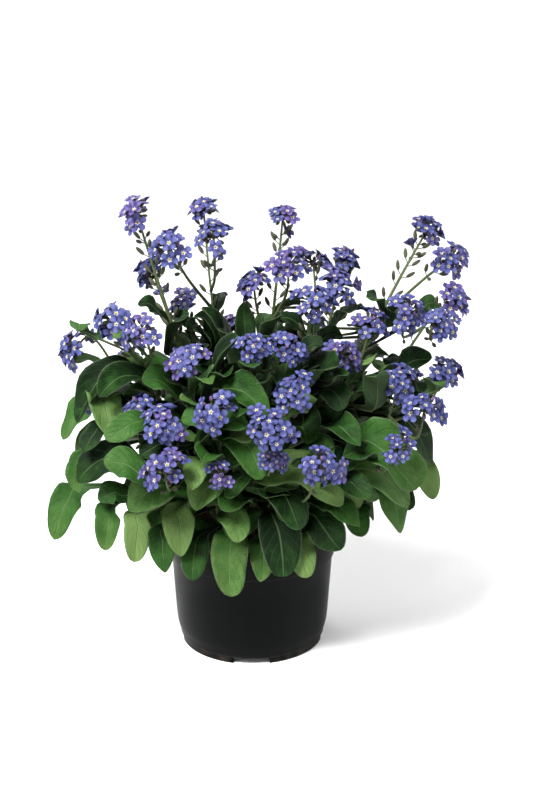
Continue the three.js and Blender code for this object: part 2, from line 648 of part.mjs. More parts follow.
// One flower: its outline joins the three corners of its facet, and its face is a shallow cup. Its
// points are added to the list, and its triangles are given back.
function flower(points, facet, out, radius) {
  const right = points[facet[0]].clone();
  right.addScaledVector(out, -right.dot(out)).normalize();
  const ahead = new THREE.Vector3().crossVectors(out, right);
  const rim = [];
  for (let lobe = 0; lobe < 5; lobe++) {
    for (const [turn, share] of [[-36, FLOWER_NOTCH], [-LOBE_HALF_ANGLE, 1], [LOBE_HALF_ANGLE, 1]]) {
      const angle = THREE.MathUtils.degToRad(72 * lobe + turn);
      const spot = out.clone().multiplyScalar(FLOWER_DISTANCE);
      spot.addScaledVector(right, share * radius * Math.cos(angle));
      spot.addScaledVector(ahead, share * radius * Math.sin(angle));
      rim.push(points.push(spot) - 1);
    }
  }
  const throat = points.push(out.clone().multiplyScalar(FLOWER_DISTANCE - THROAT_DEPTH)) - 1;
  const triangles = [];
  for (let i = 0; i < 15; i++) {
    const [here, next] = [rim[i], rim[(i + 1) % 15]];
    const corner = facet[Math.floor(((i + 1) % 15) / 5)];
    triangles.push(throat, here, next, corner, next, here);
  }
  for (let k = 0; k < 3; k++) triangles.push(facet[k], facet[(k + 1) % 3], rim[5 * k + 4]);
  return triangles;
}

const stems = {};
const heads = [];
for (const [name, stem] of Object.entries(STEMS)) {
  const shoots = [];
  const pieces = [];
  for (const shoot of stem.shoots) {
    const grown = growShoot(stem, shoot, shoots);
    shoots.push(grown);
    pieces.push(shootTube(grown));
    const head = {
      name: `head_${name}_${shoots.length}`,
      middle: new THREE.Vector3(...shoot.head),
      along: grown.line.getTangent(1),
      flowers: shoot.flowers,
      size: shoot.size,
      seed: 100 * Object.keys(stems).length + 13 * shoots.length,
    };
    if (shoot.small) pieces.push(flowerHead(head));
    else heads.push(head);
  }
  stems[name] = { shoots, pieces };
}
for (const leaf of growLeaves(stems, heads)) stems[leaf.owner].pieces.push(leafBlade(leaf));

const plant = new THREE.Group();
plant.add(piece("pot", toGeometry(pot()), POT), piece("soil", toGeometry(soil(stems)), SOIL));
for (const [name, { pieces }] of Object.entries(stems)) {
  plant.add(piece(`stem_${name}`, toGeometry(joined(pieces)), LEAF));
}
for (const head of heads) plant.add(piece(head.name, flowerHead(head), FLOWER));

export default plant;
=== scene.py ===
import math

import bmesh
import bpy
import numpy as np
from mathutils import Matrix, Vector


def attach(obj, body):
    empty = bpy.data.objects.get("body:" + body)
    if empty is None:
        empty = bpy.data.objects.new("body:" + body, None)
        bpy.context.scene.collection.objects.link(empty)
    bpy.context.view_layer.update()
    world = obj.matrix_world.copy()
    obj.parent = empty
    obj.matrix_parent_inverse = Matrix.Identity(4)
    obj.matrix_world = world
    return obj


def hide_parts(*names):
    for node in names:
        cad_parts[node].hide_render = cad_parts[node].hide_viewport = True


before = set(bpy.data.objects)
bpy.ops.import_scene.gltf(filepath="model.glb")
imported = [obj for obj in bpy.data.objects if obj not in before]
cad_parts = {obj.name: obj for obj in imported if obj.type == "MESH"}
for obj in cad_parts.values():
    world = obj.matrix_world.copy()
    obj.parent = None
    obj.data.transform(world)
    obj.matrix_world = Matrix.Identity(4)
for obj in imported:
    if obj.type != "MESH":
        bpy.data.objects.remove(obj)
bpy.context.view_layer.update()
scene = bpy.context.scene
MM = 0.001


# Table, backdrop, light and camera
#
# A pale paper bowl: a round floor that curves up into a wall all round, so every side of the plant
# is seen against the same plain ground. Three large soft lights hang over it.
FLOOR_RADIUS, COVE_RADIUS, WALL_TOP = 1500, 600, 2600
# The paper is painted lighter far from the plant. This is painted light that keeps the dimmer far floor and
# wall white.
PAPER, FAR_PAPER_PAINTED_LIGHTER = (0.81, 0.81, 0.81, 1), (0.92, 0.92, 0.92, 1)
PAPER_CHANGES = (0.3, 1.1)  # metres from the plant
SKY_STRENGTH = 0.07
PLANT_MIDDLE = (0, 0, 150)
SOFT_LIGHTS = {  # place, width, height and watts
    "key_light": ((-420, -620, 1150), 480, 480, 54),
    "right_light": ((1150, -150, 560), 400, 900, 8),
    "back_light": ((-650, 900, 1000), 900, 600, 11),
}
CAMERA_AT = (9.35, -750, 375)
CAMERA_PITCH = 16.4  # degrees below level
FOCUS_PIXELS, IMAGE_PIXELS = 1288, 800


def finished(name, bm, *materials):
    """The mesh as a smooth object of the scene, in metres."""
    bmesh.ops.scale(bm, vec=(MM, MM, MM), verts=bm.verts)
    mesh = bpy.data.meshes.new(name)
    bm.to_mesh(mesh)
    bm.free()
    mesh.polygons.foreach_set("use_smooth", [True] * len(mesh.polygons))
    for material in materials:
        mesh.materials.append(material)
    piece = bpy.data.objects.new(name, mesh)
    scene.collection.objects.link(piece)
    return piece


def turned(profile, steps):
    """A closed turned body from a profile of (radius, height) points."""
    bm = bmesh.new()
    corners = [bm.verts.new((radius, 0, height)) for radius, height in profile]
    for here, following in zip(corners, corners[1:]):
        bm.edges.new((here, following))
    bmesh.ops.spin(
        bm, geom=bm.verts[:] + bm.edges[:], cent=(0, 0, 0), axis=(0, 0, 1),
        angle=2 * math.pi, steps=steps, use_merge=True,
    )
    bmesh.ops.remove_doubles(bm, verts=bm.verts, dist=0.001)
    bmesh.ops.recalc_face_normals(bm, faces=bm.faces)
    return bm


def math_node(operation, reflected=False):
    """An operator of Value that adds a Math node; reflected, it has the value as its second term."""
    def operator(self, *others):
        terms = (*others, self) if reflected else (self, *others)
        return self.finish.node("ShaderNodeMath", {"operation": operation}, dict(enumerate(terms)))
    return operator


class Value:
    """A socket of a finish. Arithmetic on it adds Math nodes."""

    def __init__(self, finish, socket):
        self.finish, self.socket = finish, socket

    __add__, __radd__ = math_node("ADD"), math_node("ADD", reflected=True)
    __mul__, __rmul__ = math_node("MULTIPLY"), math_node("MULTIPLY", reflected=True)
    __sub__, __rsub__ = math_node("SUBTRACT"), math_node("SUBTRACT", reflected=True)
    __truediv__, __pow__, __abs__ = map(math_node, ("DIVIDE", "POWER", "ABSOLUTE"))
    fraction, cosine, bearing_of = map(math_node, ("FRACT", "COSINE", "ARCTAN2"))

    def between(self, low, high):
        """0 below low, 1 above high, and smooth between them; low may be the larger."""
        return self.finish.node(
            "ShaderNodeMapRange", {"interpolation_type": "SMOOTHSTEP"},
            {"Value": self, "From Min": low, "From Max": high},
        )


class Finish:
    """The look of one kind of surface, as a material."""

    def __init__(self, name, **sockets):
        self.material = bpy.data.materials.new(name)
        self.material.use_nodes = True
        self.shader = self.material.node_tree.nodes["Principled BSDF"]
        self.set(**sockets)

    def fill(self, socket, value):
        if isinstance(value, Value):
            self.material.node_tree.links.new(value.socket, socket)
        else:
            socket.default_value = value

    def set(self, **sockets):
        for name, value in sockets.items():
            self.fill(self.shader.inputs[name.replace("_", " ")], value)

    def node(self, kind, settings, sockets, output=0):
        node = self.material.node_tree.nodes.new(kind)
        for name, value in settings.items():
            setattr(node, name, value)
        for key, value in sockets.items():
            self.fill(node.inputs[key], value)
        return Value(self, node.outputs[output])


def blended(share, first, second):
    """Two colours mixed by a share."""
    return share.finish.node(
        "ShaderNodeMix", {"data_type": "RGBA"}, {0: share, 6: first, 7: second}, output=2
    )


def on_piece(finish):
    """Where a point lies on its piece, in metres."""
    return finish.node("ShaderNodeTexCoord", {}, {}, "Object")


def coordinates(vector):
    """The three numbers of a vector."""
    node = vector.finish.node("ShaderNodeSeparateXYZ", {}, {0: vector}).socket.node
    return [Value(vector.finish, node.outputs[axis]) for axis in "XYZ"]


paper = Finish("paper", Roughness=0.9)
x, y, _ = coordinates(on_piece(paper))
paper.set(Base_Color=blended(((x * x + y * y) ** 0.5).between(*PAPER_CHANGES), PAPER, FAR_PAPER_PAINTED_LIGHTER))
cove = [
    (FLOOR_RADIUS + COVE_RADIUS * math.sin(turn), COVE_RADIUS * (1 - math.cos(turn)))
    for turn in (math.radians(degrees) for degrees in range(0, 91, 10))
]
wall_top = (FLOOR_RADIUS + COVE_RADIUS, WALL_TOP)
backdrop = finished("backdrop", turned([(0, 0), *cove, wall_top], 96), paper.material)

sky = bpy.data.worlds.new("sky")
sky.use_nodes = True
glow = sky.node_tree.nodes["Background"].inputs
glow["Color"].default_value = (1, 1, 1, 1)
glow["Strength"].default_value = SKY_STRENGTH
scene.world = sky
scene.view_settings.view_transform = "Standard"

for name, (place, width, height, watts) in SOFT_LIGHTS.items():
    light = bpy.data.lights.new(name, "AREA")
    light.shape = "RECTANGLE"
    light.size, light.size_y = width * MM, height * MM
    light.energy = watts
    lamp = bpy.data.objects.new(name, light)
    lamp.location = Vector(place) * MM
    lamp.rotation_euler = (Vector(PLANT_MIDDLE) - Vector(place)).to_track_quat("-Z", "Y").to_euler()
    scene.collection.objects.link(lamp)

lens = bpy.data.cameras.new("camera")
lens.sensor_fit = "VERTICAL"
lens.sensor_height = 36
lens.lens = lens.sensor_height * FOCUS_PIXELS / IMAGE_PIXELS
camera = bpy.data.objects.new("camera", lens)
camera.location = Vector(CAMERA_AT) * MM
camera.rotation_euler = (math.radians(90 - CAMERA_PITCH), 0, 0)
scene.collection.objects.link(camera)
scene.camera = camera


# Pot
#
# A thin-walled pot of black moulded polypropylene, with a collar under the rim, a tapered wall that
# rounds in to a foot ring with four drainage notches, and a floor with four drainage holes.
RIM_RADIUS, POT_HEIGHT, WALL, CUT_EDGE = 52.5, 74, 1.3, 0.35
COLLAR_BOTTOM, COLLAR_RADIUS, UNDER_COLLAR_RADIUS = 57.5, 51.6, 50.4
WALL_FOOT_RADIUS, WALL_FOOT_HEIGHT = 47.8, 18
FOOT_RADIUS, FOOT_WIDTH, FLOOR_UNDERSIDE, FLOOR_TOP = 44.5, 2.2, 4.8, 6.4
NOTCH_WIDTH, NOTCH_HEIGHT = 22, 4
DRAIN_HOLE_RADIUS, DRAIN_HOLE_RING = 4, 32
# The edge grey serves as the colour of real scuffs and also as a painted highlight along the collar and
# foot edges.
PLASTIC, SCUFF_AND_HIGHLIGHT_GREY = (0.0013, 0.0016, 0.0016, 1), (0.014, 0.0155, 0.016, 1)
DUST = (0.085, 0.062, 0.045, 1)


def cloudy(finish, place, size, detail=2.0, roughness=0.5):
    """Even noise from 0 to 1 with clouds of about this size in millimetres."""
    return finish.node(
        "ShaderNodeTexNoise", {},
        {"Vector": place, "Scale": 1 / (size * MM), "Detail": detail, "Roughness": roughness},
    )


def raised(height, depth):
    """The normal of a surface that a height from 0 to 1 lifts by a depth in millimetres."""
    return height.finish.node("ShaderNodeBump", {}, {"Distance": depth * MM, "Height": height})


plastic = Finish("pot_plastic", Specular_IOR_Level=0.035)
place = on_piece(plastic)
height = coordinates(place)[2] / MM
grain = cloudy(plastic, place, 0.7, 3)
clouds = cloudy(plastic, place, 16, 4, 0.6)
scuffs = cloudy(plastic, place, 3.5, 5, 0.75).between(0.6, 0.74) * 0.35
# Painted highlights: thin lighter lines along the collar's lower edge and along the foot's ledge, in the
# same grey as the scuffs.
collar_edge_highlight = height.between(56.9, 57.5) * height.between(58.2, 57.6)
foot_edge_highlight = height.between(3.7, 4.2) * height.between(4.9, 4.3)
near_rim_or_foot = height.between(66, 75) * 0.5 + height.between(8, 0) * 0.8
dusty = near_rim_or_foot * cloudy(plastic, place, 5, 5, 0.7).between(0.42, 0.72)
scuffed_and_highlit = blended(scuffs * clouds + (collar_edge_highlight + foot_edge_highlight) * 0.9, PLASTIC, SCUFF_AND_HIGHLIGHT_GREY)
plastic.set(
    Base_Color=blended(dusty * 0.45, scuffed_and_highlit, DUST),
    Roughness=clouds * 0.16 + 0.3 + scuffs * 0.2 + dusty * 0.3,
    Normal=raised(grain * 0.5 + clouds, 0.06),
)

outside = [
    (0, FLOOR_UNDERSIDE), (FOOT_RADIUS - FOOT_WIDTH, FLOOR_UNDERSIDE), (FOOT_RADIUS - FOOT_WIDTH, 0),
    (FOOT_RADIUS, 0), (FOOT_RADIUS + 0.1, 3.8), (FOOT_RADIUS + 0.9, 4.3), (FOOT_RADIUS + 1.0, 6.4),
    (FOOT_RADIUS + 1.9, 8.8), (FOOT_RADIUS + 2.7, 12.2), (WALL_FOOT_RADIUS, WALL_FOOT_HEIGHT),
    (49.1, 38), (UNDER_COLLAR_RADIUS, COLLAR_BOTTOM), (COLLAR_RADIUS, COLLAR_BOTTOM + 0.4),
    (52.1, 66), (RIM_RADIUS - 0.05, POT_HEIGHT - 1.2), (RIM_RADIUS - 0.15, POT_HEIGHT - 0.35),
    (RIM_RADIUS - 0.55, POT_HEIGHT),
]
inside = [
    (RIM_RADIUS - WALL, POT_HEIGHT - 0.3), (COLLAR_RADIUS - WALL, COLLAR_BOTTOM + 2),
    (UNDER_COLLAR_RADIUS - WALL, COLLAR_BOTTOM - 1), (WALL_FOOT_RADIUS - WALL, WALL_FOOT_HEIGHT),
    (45.6, 12.5), (FOOT_RADIUS - 0.4, 9), (FOOT_RADIUS - 2, FLOOR_TOP), (0, FLOOR_TOP),
]
pot = finished("nursery_pot", turned([*outside, *inside], 180), plastic.material)

notches = bmesh.new()
for turn in (0, 90):
    bmesh.ops.create_cube(
        notches,
        matrix=Matrix.Rotation(math.radians(turn), 4, "Z")
        @ Matrix.Diagonal((NOTCH_WIDTH, 3 * FOOT_RADIUS, 2 * NOTCH_HEIGHT, 1)),
    )
holes = bmesh.new()
for bearing in (45, 135, 225, 315):
    bmesh.ops.create_cone(
        holes, cap_ends=True, segments=32, radius1=DRAIN_HOLE_RADIUS, radius2=DRAIN_HOLE_RADIUS, depth=8,
        matrix=Matrix.Rotation(math.radians(bearing), 4, "Z")
        @ Matrix.Translation((DRAIN_HOLE_RING, 0, FLOOR_TOP)),
    )
cutters = [finished("notch_cutter", notches), finished("hole_cutter", holes)]
for cutter in cutters:
    cut = pot.modifiers.new("cut", "BOOLEAN")
    cut.object = cutter
    cut.solver = "EXACT"
    cut.use_self = True
soft_edges = pot.modifiers.new("soft_edges", "BEVEL")
soft_edges.width = CUT_EDGE * MM
soft_edges.segments = 2
soft_edges.angle_limit = math.radians(32)
cut_mesh = bpy.data.meshes.new_from_object(pot.evaluated_get(bpy.context.evaluated_depsgraph_get()))
pot.modifiers.clear()
pot.data = cut_mesh
for cutter in cutters:
    bpy.data.objects.remove(cutter)
cut_mesh.polygons.foreach_set("use_smooth", [True] * len(cut_mesh.polygons))
cut_mesh.set_sharp_from_angle(angle=math.radians(40))
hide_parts("pot")
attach(pot, "root")


# Soil
#
# Moist brown peat that fills the pot to a few millimetres under the rim, a little higher in the
# middle, with loose crumbs on top.
SOIL_RADIUS, SOIL_EDGE, SOIL_MIDDLE, SOIL_BOTTOM = 50.0, 67, 70, 6.8
SOIL_RINGS, CLOD_HEIGHT, CRUMBS, CRUMB_SIZE = 26, 0.45, 420, 1.5
PEAT, PEAT_LIGHT = (0.032, 0.017, 0.009, 1), (0.13, 0.07, 0.035, 1)


def draw(n):
    """A repeatable number from 0 to 1 for each number."""
    far = math.sin(n * 12.9898 + 4.1) * 43758.5453
    return far - math.floor(far)


def at_bearing(bearing, radius, height):
    """A point by its bearing in radians, its distance from the axis and its height."""
    return radius * math.cos(bearing), radius * math.sin(bearing), height


def clod(x, y):
    """How high the rough soil lies at a place."""
    return CLOD_HEIGHT * (
        math.sin(0.9 * x + 1.3 * math.sin(0.7 * y)) * math.cos(1.1 * y + math.sin(0.5 * x))
        + 0.5 * math.sin(2.3 * x + 1.7 * y) + 0.5 * math.cos(1.9 * y - 2.7 * x)
    )


def soil_height(share):
    """The height of the soil's top at a share of its radius."""
    return SOIL_MIDDLE + (SOIL_EDGE - SOIL_MIDDLE) * share**2


peat = Finish("peat", Roughness=0.95, Specular_IOR_Level=0.2)
place = on_piece(peat)
peat.set(
    Base_Color=blended(cloudy(peat, place, 2.4, 6, 0.75).between(0.45, 0.75), PEAT, PEAT_LIGHT),
    Normal=raised(cloudy(peat, place, 1.6, 6, 0.7), 1.2),
)
top = [(SOIL_RADIUS * k / SOIL_RINGS, soil_height(k / SOIL_RINGS)) for k in range(SOIL_RINGS + 1)]
side = [(49.7, 60), (48.7, COLLAR_BOTTOM - 1.2), (46.1, WALL_FOOT_HEIGHT), (43.6, 12)]
bm = turned([*top, *side, (41.5, SOIL_BOTTOM), (0, SOIL_BOTTOM)], 110)
for corner in bm.verts:
    if corner.co.z > SOIL_EDGE - 0.1 and corner.co.to_2d().length < SOIL_RADIUS - 0.4:
        corner.co.z += clod(corner.co.x, corner.co.y)
for k in range(CRUMBS):
    bearing, far = 2 * math.pi * draw(k + 0.1), SOIL_RADIUS * 0.965 * math.sqrt(draw(k + 900.3))
    size = CRUMB_SIZE * (0.35 + 0.75 * draw(k + 1800.7) ** 2)
    lie = soil_height(far / SOIL_RADIUS) + 0.3 * size
    bmesh.ops.create_icosphere(
        bm, subdivisions=1, radius=1,
        matrix=Matrix.Translation(at_bearing(bearing, far, lie))
        @ Matrix.Rotation(6 * draw(k + 77.7), 4, (draw(k), draw(k + 5.5), 0.3))
        @ Matrix.Diagonal((size * (0.8 + 0.6 * draw(k + 40)), size, size * 0.75, 1)),
    )
soil = finished("peat_soil", bm, peat.material)
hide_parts("soil")
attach(soil, "root")


# Shoots
#
# Thirteen soft forked stems, round, olive green and hairy, 4 mm thick where they stand in the peat
# and about 1 mm below the flowers.
FOOT_HEIGHT, STEM_RADIUS, SIDE_SHOOT_RADIUS, TIP_RADIUS = 62, 1.9, 1.15, 0.62
MAIN_ROWS = 8  # straight rows of a main stem in the solids
SOLID_GAP = 0.3  # between a shoot and its head in the solids
CORE_FACET = 0.795 * 3.2  # from the middle of a head to where its shoot ends in the solids
NECK = 1.2  # the same for its grown shoot
STEM_GREEN, STEM_OLIVE = (0.03, 0.05, 0.015, 1), (0.065, 0.082, 0.03, 1)
STEM_PURPLE = (0.024, 0.016, 0.018, 1)
# Each stem's foot, and its shoots: the earlier shoot that each leaves, at which share of its length,
# its bends, the middle of its head, that head's relative size, and whether it is a small late one.
SHOOTS = {
    "left_top": ((-9, 6), [
        (None, 0, [(-22, 2, 126), (-48, -8, 208)], (-65, -15, 269)),
        (0, 0.12, [(-17, 14, 146), (-25, 24, 218)], (-29, 30, 265)),
        (1, 0.66, [(-22, 12, 228)], (-22, 4, 254), 1.1), (1, 0.6, [(-37, -6, 230)], (-46, -25, 252), 1.1),
        (0, 0.58, [(-54, 6, 218)], (-59, 10, 232)),
    ]),
    "left_back": ((-7, 15), [
        (None, 0, [(-22, 28, 126), (-36, 34, 181)], (-42, 35, 207)),
        (0, 0.3, [(-48, 38, 131)], (-80, 46, 168), 0.95), (0, 0.22, [(-26, 50, 126)], (-44, 64, 172), 1.05),
        (2, 0.4, [(-26, 74, 122)], (-30, 92, 142)),
    ]),
    "left_out": ((-17, 3), [
        (None, 0, [(-40, -8, 121), (-62, -22, 178)], (-78, -35, 211), 1.1),
        (0, 0.68, [(-57, -38, 192)], (-60, -50, 209), 1.1),
        (0, 0.3, [(-64, -2, 141), (-92, -4, 192)], (-106, -10, 189)),
        (2, 0.5, [(-84, -18, 154)], (-91, -28, 160), 0.7, True),
    ]),
    "left_front": ((-16, -7), [
        (None, 0, [(-26, -24, 121), (-33, -42, 168)], (-35, -50, 191), 1.1),
        (0, 0.45, [(-52, -38, 142)], (-64, -45, 162), 0.9),
        (0, 0.28, [(-38, -52, 126)], (-48, -68, 160), 1.1),
        (2, 0.45, [(-45, -70, 122)], (-47, -84, 139), 1.15),
    ]),
    "front_left": ((-7, -12), [
        (None, 0, [(-13, -42, 114), (-18, -66, 149)], (-19, -80, 172), 1.15),
        (0, 0.5, [(-17, -66, 120)], (-17, -78, 134), 0.75, True),
    ]),
    "front_middle": ((0, -5), [
        (None, 0, [(1, -26, 126), (0, -44, 176)], (1, -56, 201), 0.95),
        (0, 0.78, [(12, -48, 186)], (20, -55, 201), 0.95),
    ]),
    "front_right": ((6, -14), [
        (None, 0, [(14, -42, 114), (20, -60, 156)], (24, -74, 181), 1.1),
        (0, 0.55, [(13, -74, 146)], (11, -88, 164), 1.15), (0, 0.3, [(30, -66, 114)], (39, -91, 144), 1.15),
        (1, 0.4, [(10, -72, 132)], (13, -80, 143), 0.7, True),
    ]),
    "middle_top": ((2, 5), [
        (None, 0, [(6, 12, 136), (14, 24, 211)], (19, 30, 261)),
        (0, 0.6, [(21, 10, 218)], (22, 0, 237), 1.1), (0, 0.55, [(4, 17, 204)], (1, 18, 223)),
    ]),
    "right_middle": ((9, 1), [
        (None, 0, [(22, -6, 131), (32, -20, 191)], (36, -30, 221), 1.1),
        (0, 0.6, [(45, -10, 202)], (51, -8, 227), 1.05),
        (0, 0.25, [(36, 12, 156), (51, 24, 211)], (57, 30, 235)), (2, 0.6, [(41, 36, 208)], (38, 45, 230)),
    ]),
    "right_inner": ((15, -8), [
        (None, 0, [(40, -14, 126), (62, -18, 178)], (70, -20, 206)),
        (0, 0.5, [(50, -28, 168)], (52, -36, 191)),
        (0, 0.3, [(66, -34, 131), (80, -38, 156)], (84, -42, 178), 1.1),
        (2, 0.66, [(94, -50, 146)], (98, -58, 166), 1.05),
        (2, 0.6, [(102, -28, 158)], (113, -24, 177), 1.05),
        (2, 0.45, [(74, -62, 130)], (83, -72, 148), 0.9),
    ]),
    "right_tall": ((17, 2), [
        (None, 0, [(46, 10, 138), (86, 24, 216)], (106, 30, 252), 1.1),
        (0, 0.58, [(104, 8, 228)], (117, -8, 242), 1.05),
        (0, 0.32, [(80, -4, 168), (106, -10, 208)], (118, -17, 219), 1.05),
        (2, 0.6, [(88, -26, 200)], (90, -36, 217), 0.95),
        (2, 0.7, [(104, -24, 198)], (108, -38, 210), 0.95),
    ]),
    "right_back": ((12, 12), [
        (None, 0, [(24, 36, 124), (38, 58, 162)], (44, 70, 180)),
        (0, 0.4, [(56, 46, 141)], (74, 58, 172), 1.05), (1, 0.3, [(72, 32, 128)], (98, 36, 162), 0.95),
    ]),
    "middle_back": ((2, 16), [
        (None, 0, [(-2, 44, 124), (-8, 64, 162)], (-12, 74, 182), 1.05),
        (0, 0.4, [(8, 74, 134)], (14, 91, 160)),
    ]),
}


class Line:
    """A smooth line through a few points."""

    def __init__(self, points):
        points = self.points = np.array(points, float)
        self.padded = np.vstack([2 * points[0] - points[1], points, 2 * points[-1] - points[-2]])

    def at(self, share):
        last = len(self.points) - 1
        way = np.clip(np.atleast_1d(share), 0, 1) * last
        step = np.minimum(way.astype(int), last - 1)
        part = (way - step)[:, None]
        before, here, following, after = (self.padded[step + k] for k in range(4))
        leave, arrive = (following - before) / 2, (after - here) / 2
        return (
            here + leave * part + (3 * (following - here) - 2 * leave - arrive) * part**2
            + (2 * (here - following) + leave + arrive) * part**3
        )

    def heading(self, share):
        share = np.clip(share, 0, 1)
        return unit(self.at(share + 1e-4) - self.at(share - 1e-4))


def unit(vectors):
    return vectors / np.linalg.norm(vectors, axis=-1, keepdims=True)


def bent(spots, line, thickness):
    """A straight shape bent along a line: its z is the share of the line, x and y its widths."""
    share = spots[:, 2]
    ahead = line.heading(share)
    way = line.points[-1] - line.points[0]
    level = np.array((way[1], -way[0], 0) if np.hypot(*way[:2]) > 0.01 else (1.0, 0, 0))
    side = unit(level - ahead * (ahead @ level)[:, None])
    other = np.cross(ahead, side)
    width = np.broadcast_to(thickness(share), share.shape)[:, None]
    return line.at(share) + width * (spots[:, :1] * side + spots[:, 1:2] * other)


class Shape:
    """A small shape that goes into the plant many times, with its points moved each time."""

    def __init__(self, bm):
        self.mesh = bpy.data.meshes.new("shape")
        bm.to_mesh(self.mesh)
        bm.free()
        self.mesh.attributes.new("detail", "FLOAT_VECTOR", "POINT")
        self.spots = np.array([corner.co for corner in self.mesh.vertices])

    def put(self, bm, spots, detail, finish):
        """Adds the shape, with three numbers a point for its finish, such as a tone."""
        detail = np.broadcast_to(np.column_stack(np.broadcast_arrays(*detail)), spots.shape)
        self.mesh.vertices.foreach_set("co", spots.ravel())
        self.mesh.attributes["detail"].data.foreach_set("vector", detail.ravel())
        self.mesh.polygons.foreach_set("material_index", [finish] * len(self.mesh.polygons))
        bm.from_mesh(self.mesh)

    def grow(self, bm, line, thickness, tone, finish, coloured=0):
        """Adds the shape, bent along a line."""
        self.put(bm, bent(self.spots, line, thickness), (coloured, self.spots[:, 2], tone), finish)


def rod(sides, rows):
    """A round rod along z from 0 to 1, of radius 1."""
    bm = bmesh.new()
    bmesh.ops.create_cone(bm, cap_ends=True, segments=sides, radius1=1, radius2=1, depth=1)
    upright = [edge for edge in bm.edges if abs(edge.verts[0].co.z - edge.verts[1].co.z) > 0.5]
    bmesh.ops.subdivide_edges(bm, edges=upright, cuts=rows - 1, use_grid_fill=True)
    bmesh.ops.translate(bm, vec=(0, 0, 0.5), verts=bm.verts)
    return Shape(bm)


stem_rod, shoot_rod = rod(10, 40), rod(8, 26)


class Shoot:
    """A shoot: solid_line runs along the solid's straight rows, line is the grown one."""

    def __init__(self, foot, earlier, on, at, bends, head, size=1, small=False):
        middle = np.array(head, float)
        towards = unit(np.array(bends[-1], float) - middle)
        reach = 0 if small else CORE_FACET * size + SOLID_GAP
        start = (*foot, FOOT_HEIGHT) if on is None else earlier[on].row_point(at)
        self.solid_line = Line([start, *bends, middle + reach * towards])
        self.rows = MAIN_ROWS if on is None else len(bends) + 2
        grown_start = start if on is None else earlier[on].line.at(at)[0]
        self.line = Line([grown_start, *bends, middle + NECK * towards])
        self.main, self.small, self.size, self.middle = on is None, small, size, middle
        self.along = self.solid_line.heading(1)[0]

    def row_point(self, share):
        """A point on the straight rows of the solid."""
        row = min(int(share * self.rows), self.rows - 1)
        low, high = self.solid_line.at([row / self.rows, (row + 1) / self.rows])
        return low + (high - low) * (share * self.rows - row)

    def thickness(self, share):
        thick = STEM_RADIUS if self.main else SIDE_SHOOT_RADIUS
        return thick + (TIP_RADIUS - thick) * share ** 0.8


def carried(finish):
    """The three numbers that the shapes of the plant carry at their points."""
    return coordinates(finish.node("ShaderNodeAttribute", {"attribute_name": "detail"}, {}, "Vector"))


plants = {}
for name, (foot, shoots) in SHOOTS.items():
    grown = plants[name] = []
    for shoot in shoots:
        grown.append(Shoot(foot, grown, *shoot))

stem_green = Finish("stem_green", Roughness=0.6, Specular_IOR_Level=0.2)
place = on_piece(stem_green)
tone = carried(stem_green)[2]
green = blended(cloudy(stem_green, place, 1.4, 4, 0.6).between(0.35, 0.7), STEM_GREEN, STEM_OLIVE)
stem_green.set(
    Base_Color=blended(tone.between(0.55, 1.0) * 0.75, green, STEM_PURPLE),
    Normal=raised(cloudy(stem_green, place, 0.5, 3), 0.25),
)


# Leaves
#
# Soft spatulate blades 30 to 60 mm long and half a millimetre thick, with a narrow winged foot, a
# blunt tip, a sunken midrib, faint side veins and short hairs along their edges.
BLADE_COLUMNS, BLADE_ROWS, BLADE_THICKNESS, BLADE_BREADTH, WIDEST = 8, 16, 0.5, 1.3, 0.66
EDGE_HAIRS, HAIR_LENGTH, HAIR_RADIUS = 64, 0.5, 0.045
# The deepest green is both a dark leaf colour and painted shade for the leaves deep inside the plant and at
# the feet of blades.
DEEP_GREEN_AND_SHADE, MIDDLE, FRESH = (0.001, 0.0072, 0.0009, 1), (0.0165, 0.056, 0.0082, 1), (0.078, 0.131, 0.038, 1)
PALE_RIB, EDGE, UNDERSIDE = (0.1, 0.15, 0.06, 1), (0.11, 0.15, 0.08, 1), (0.035, 0.06, 0.027, 1)
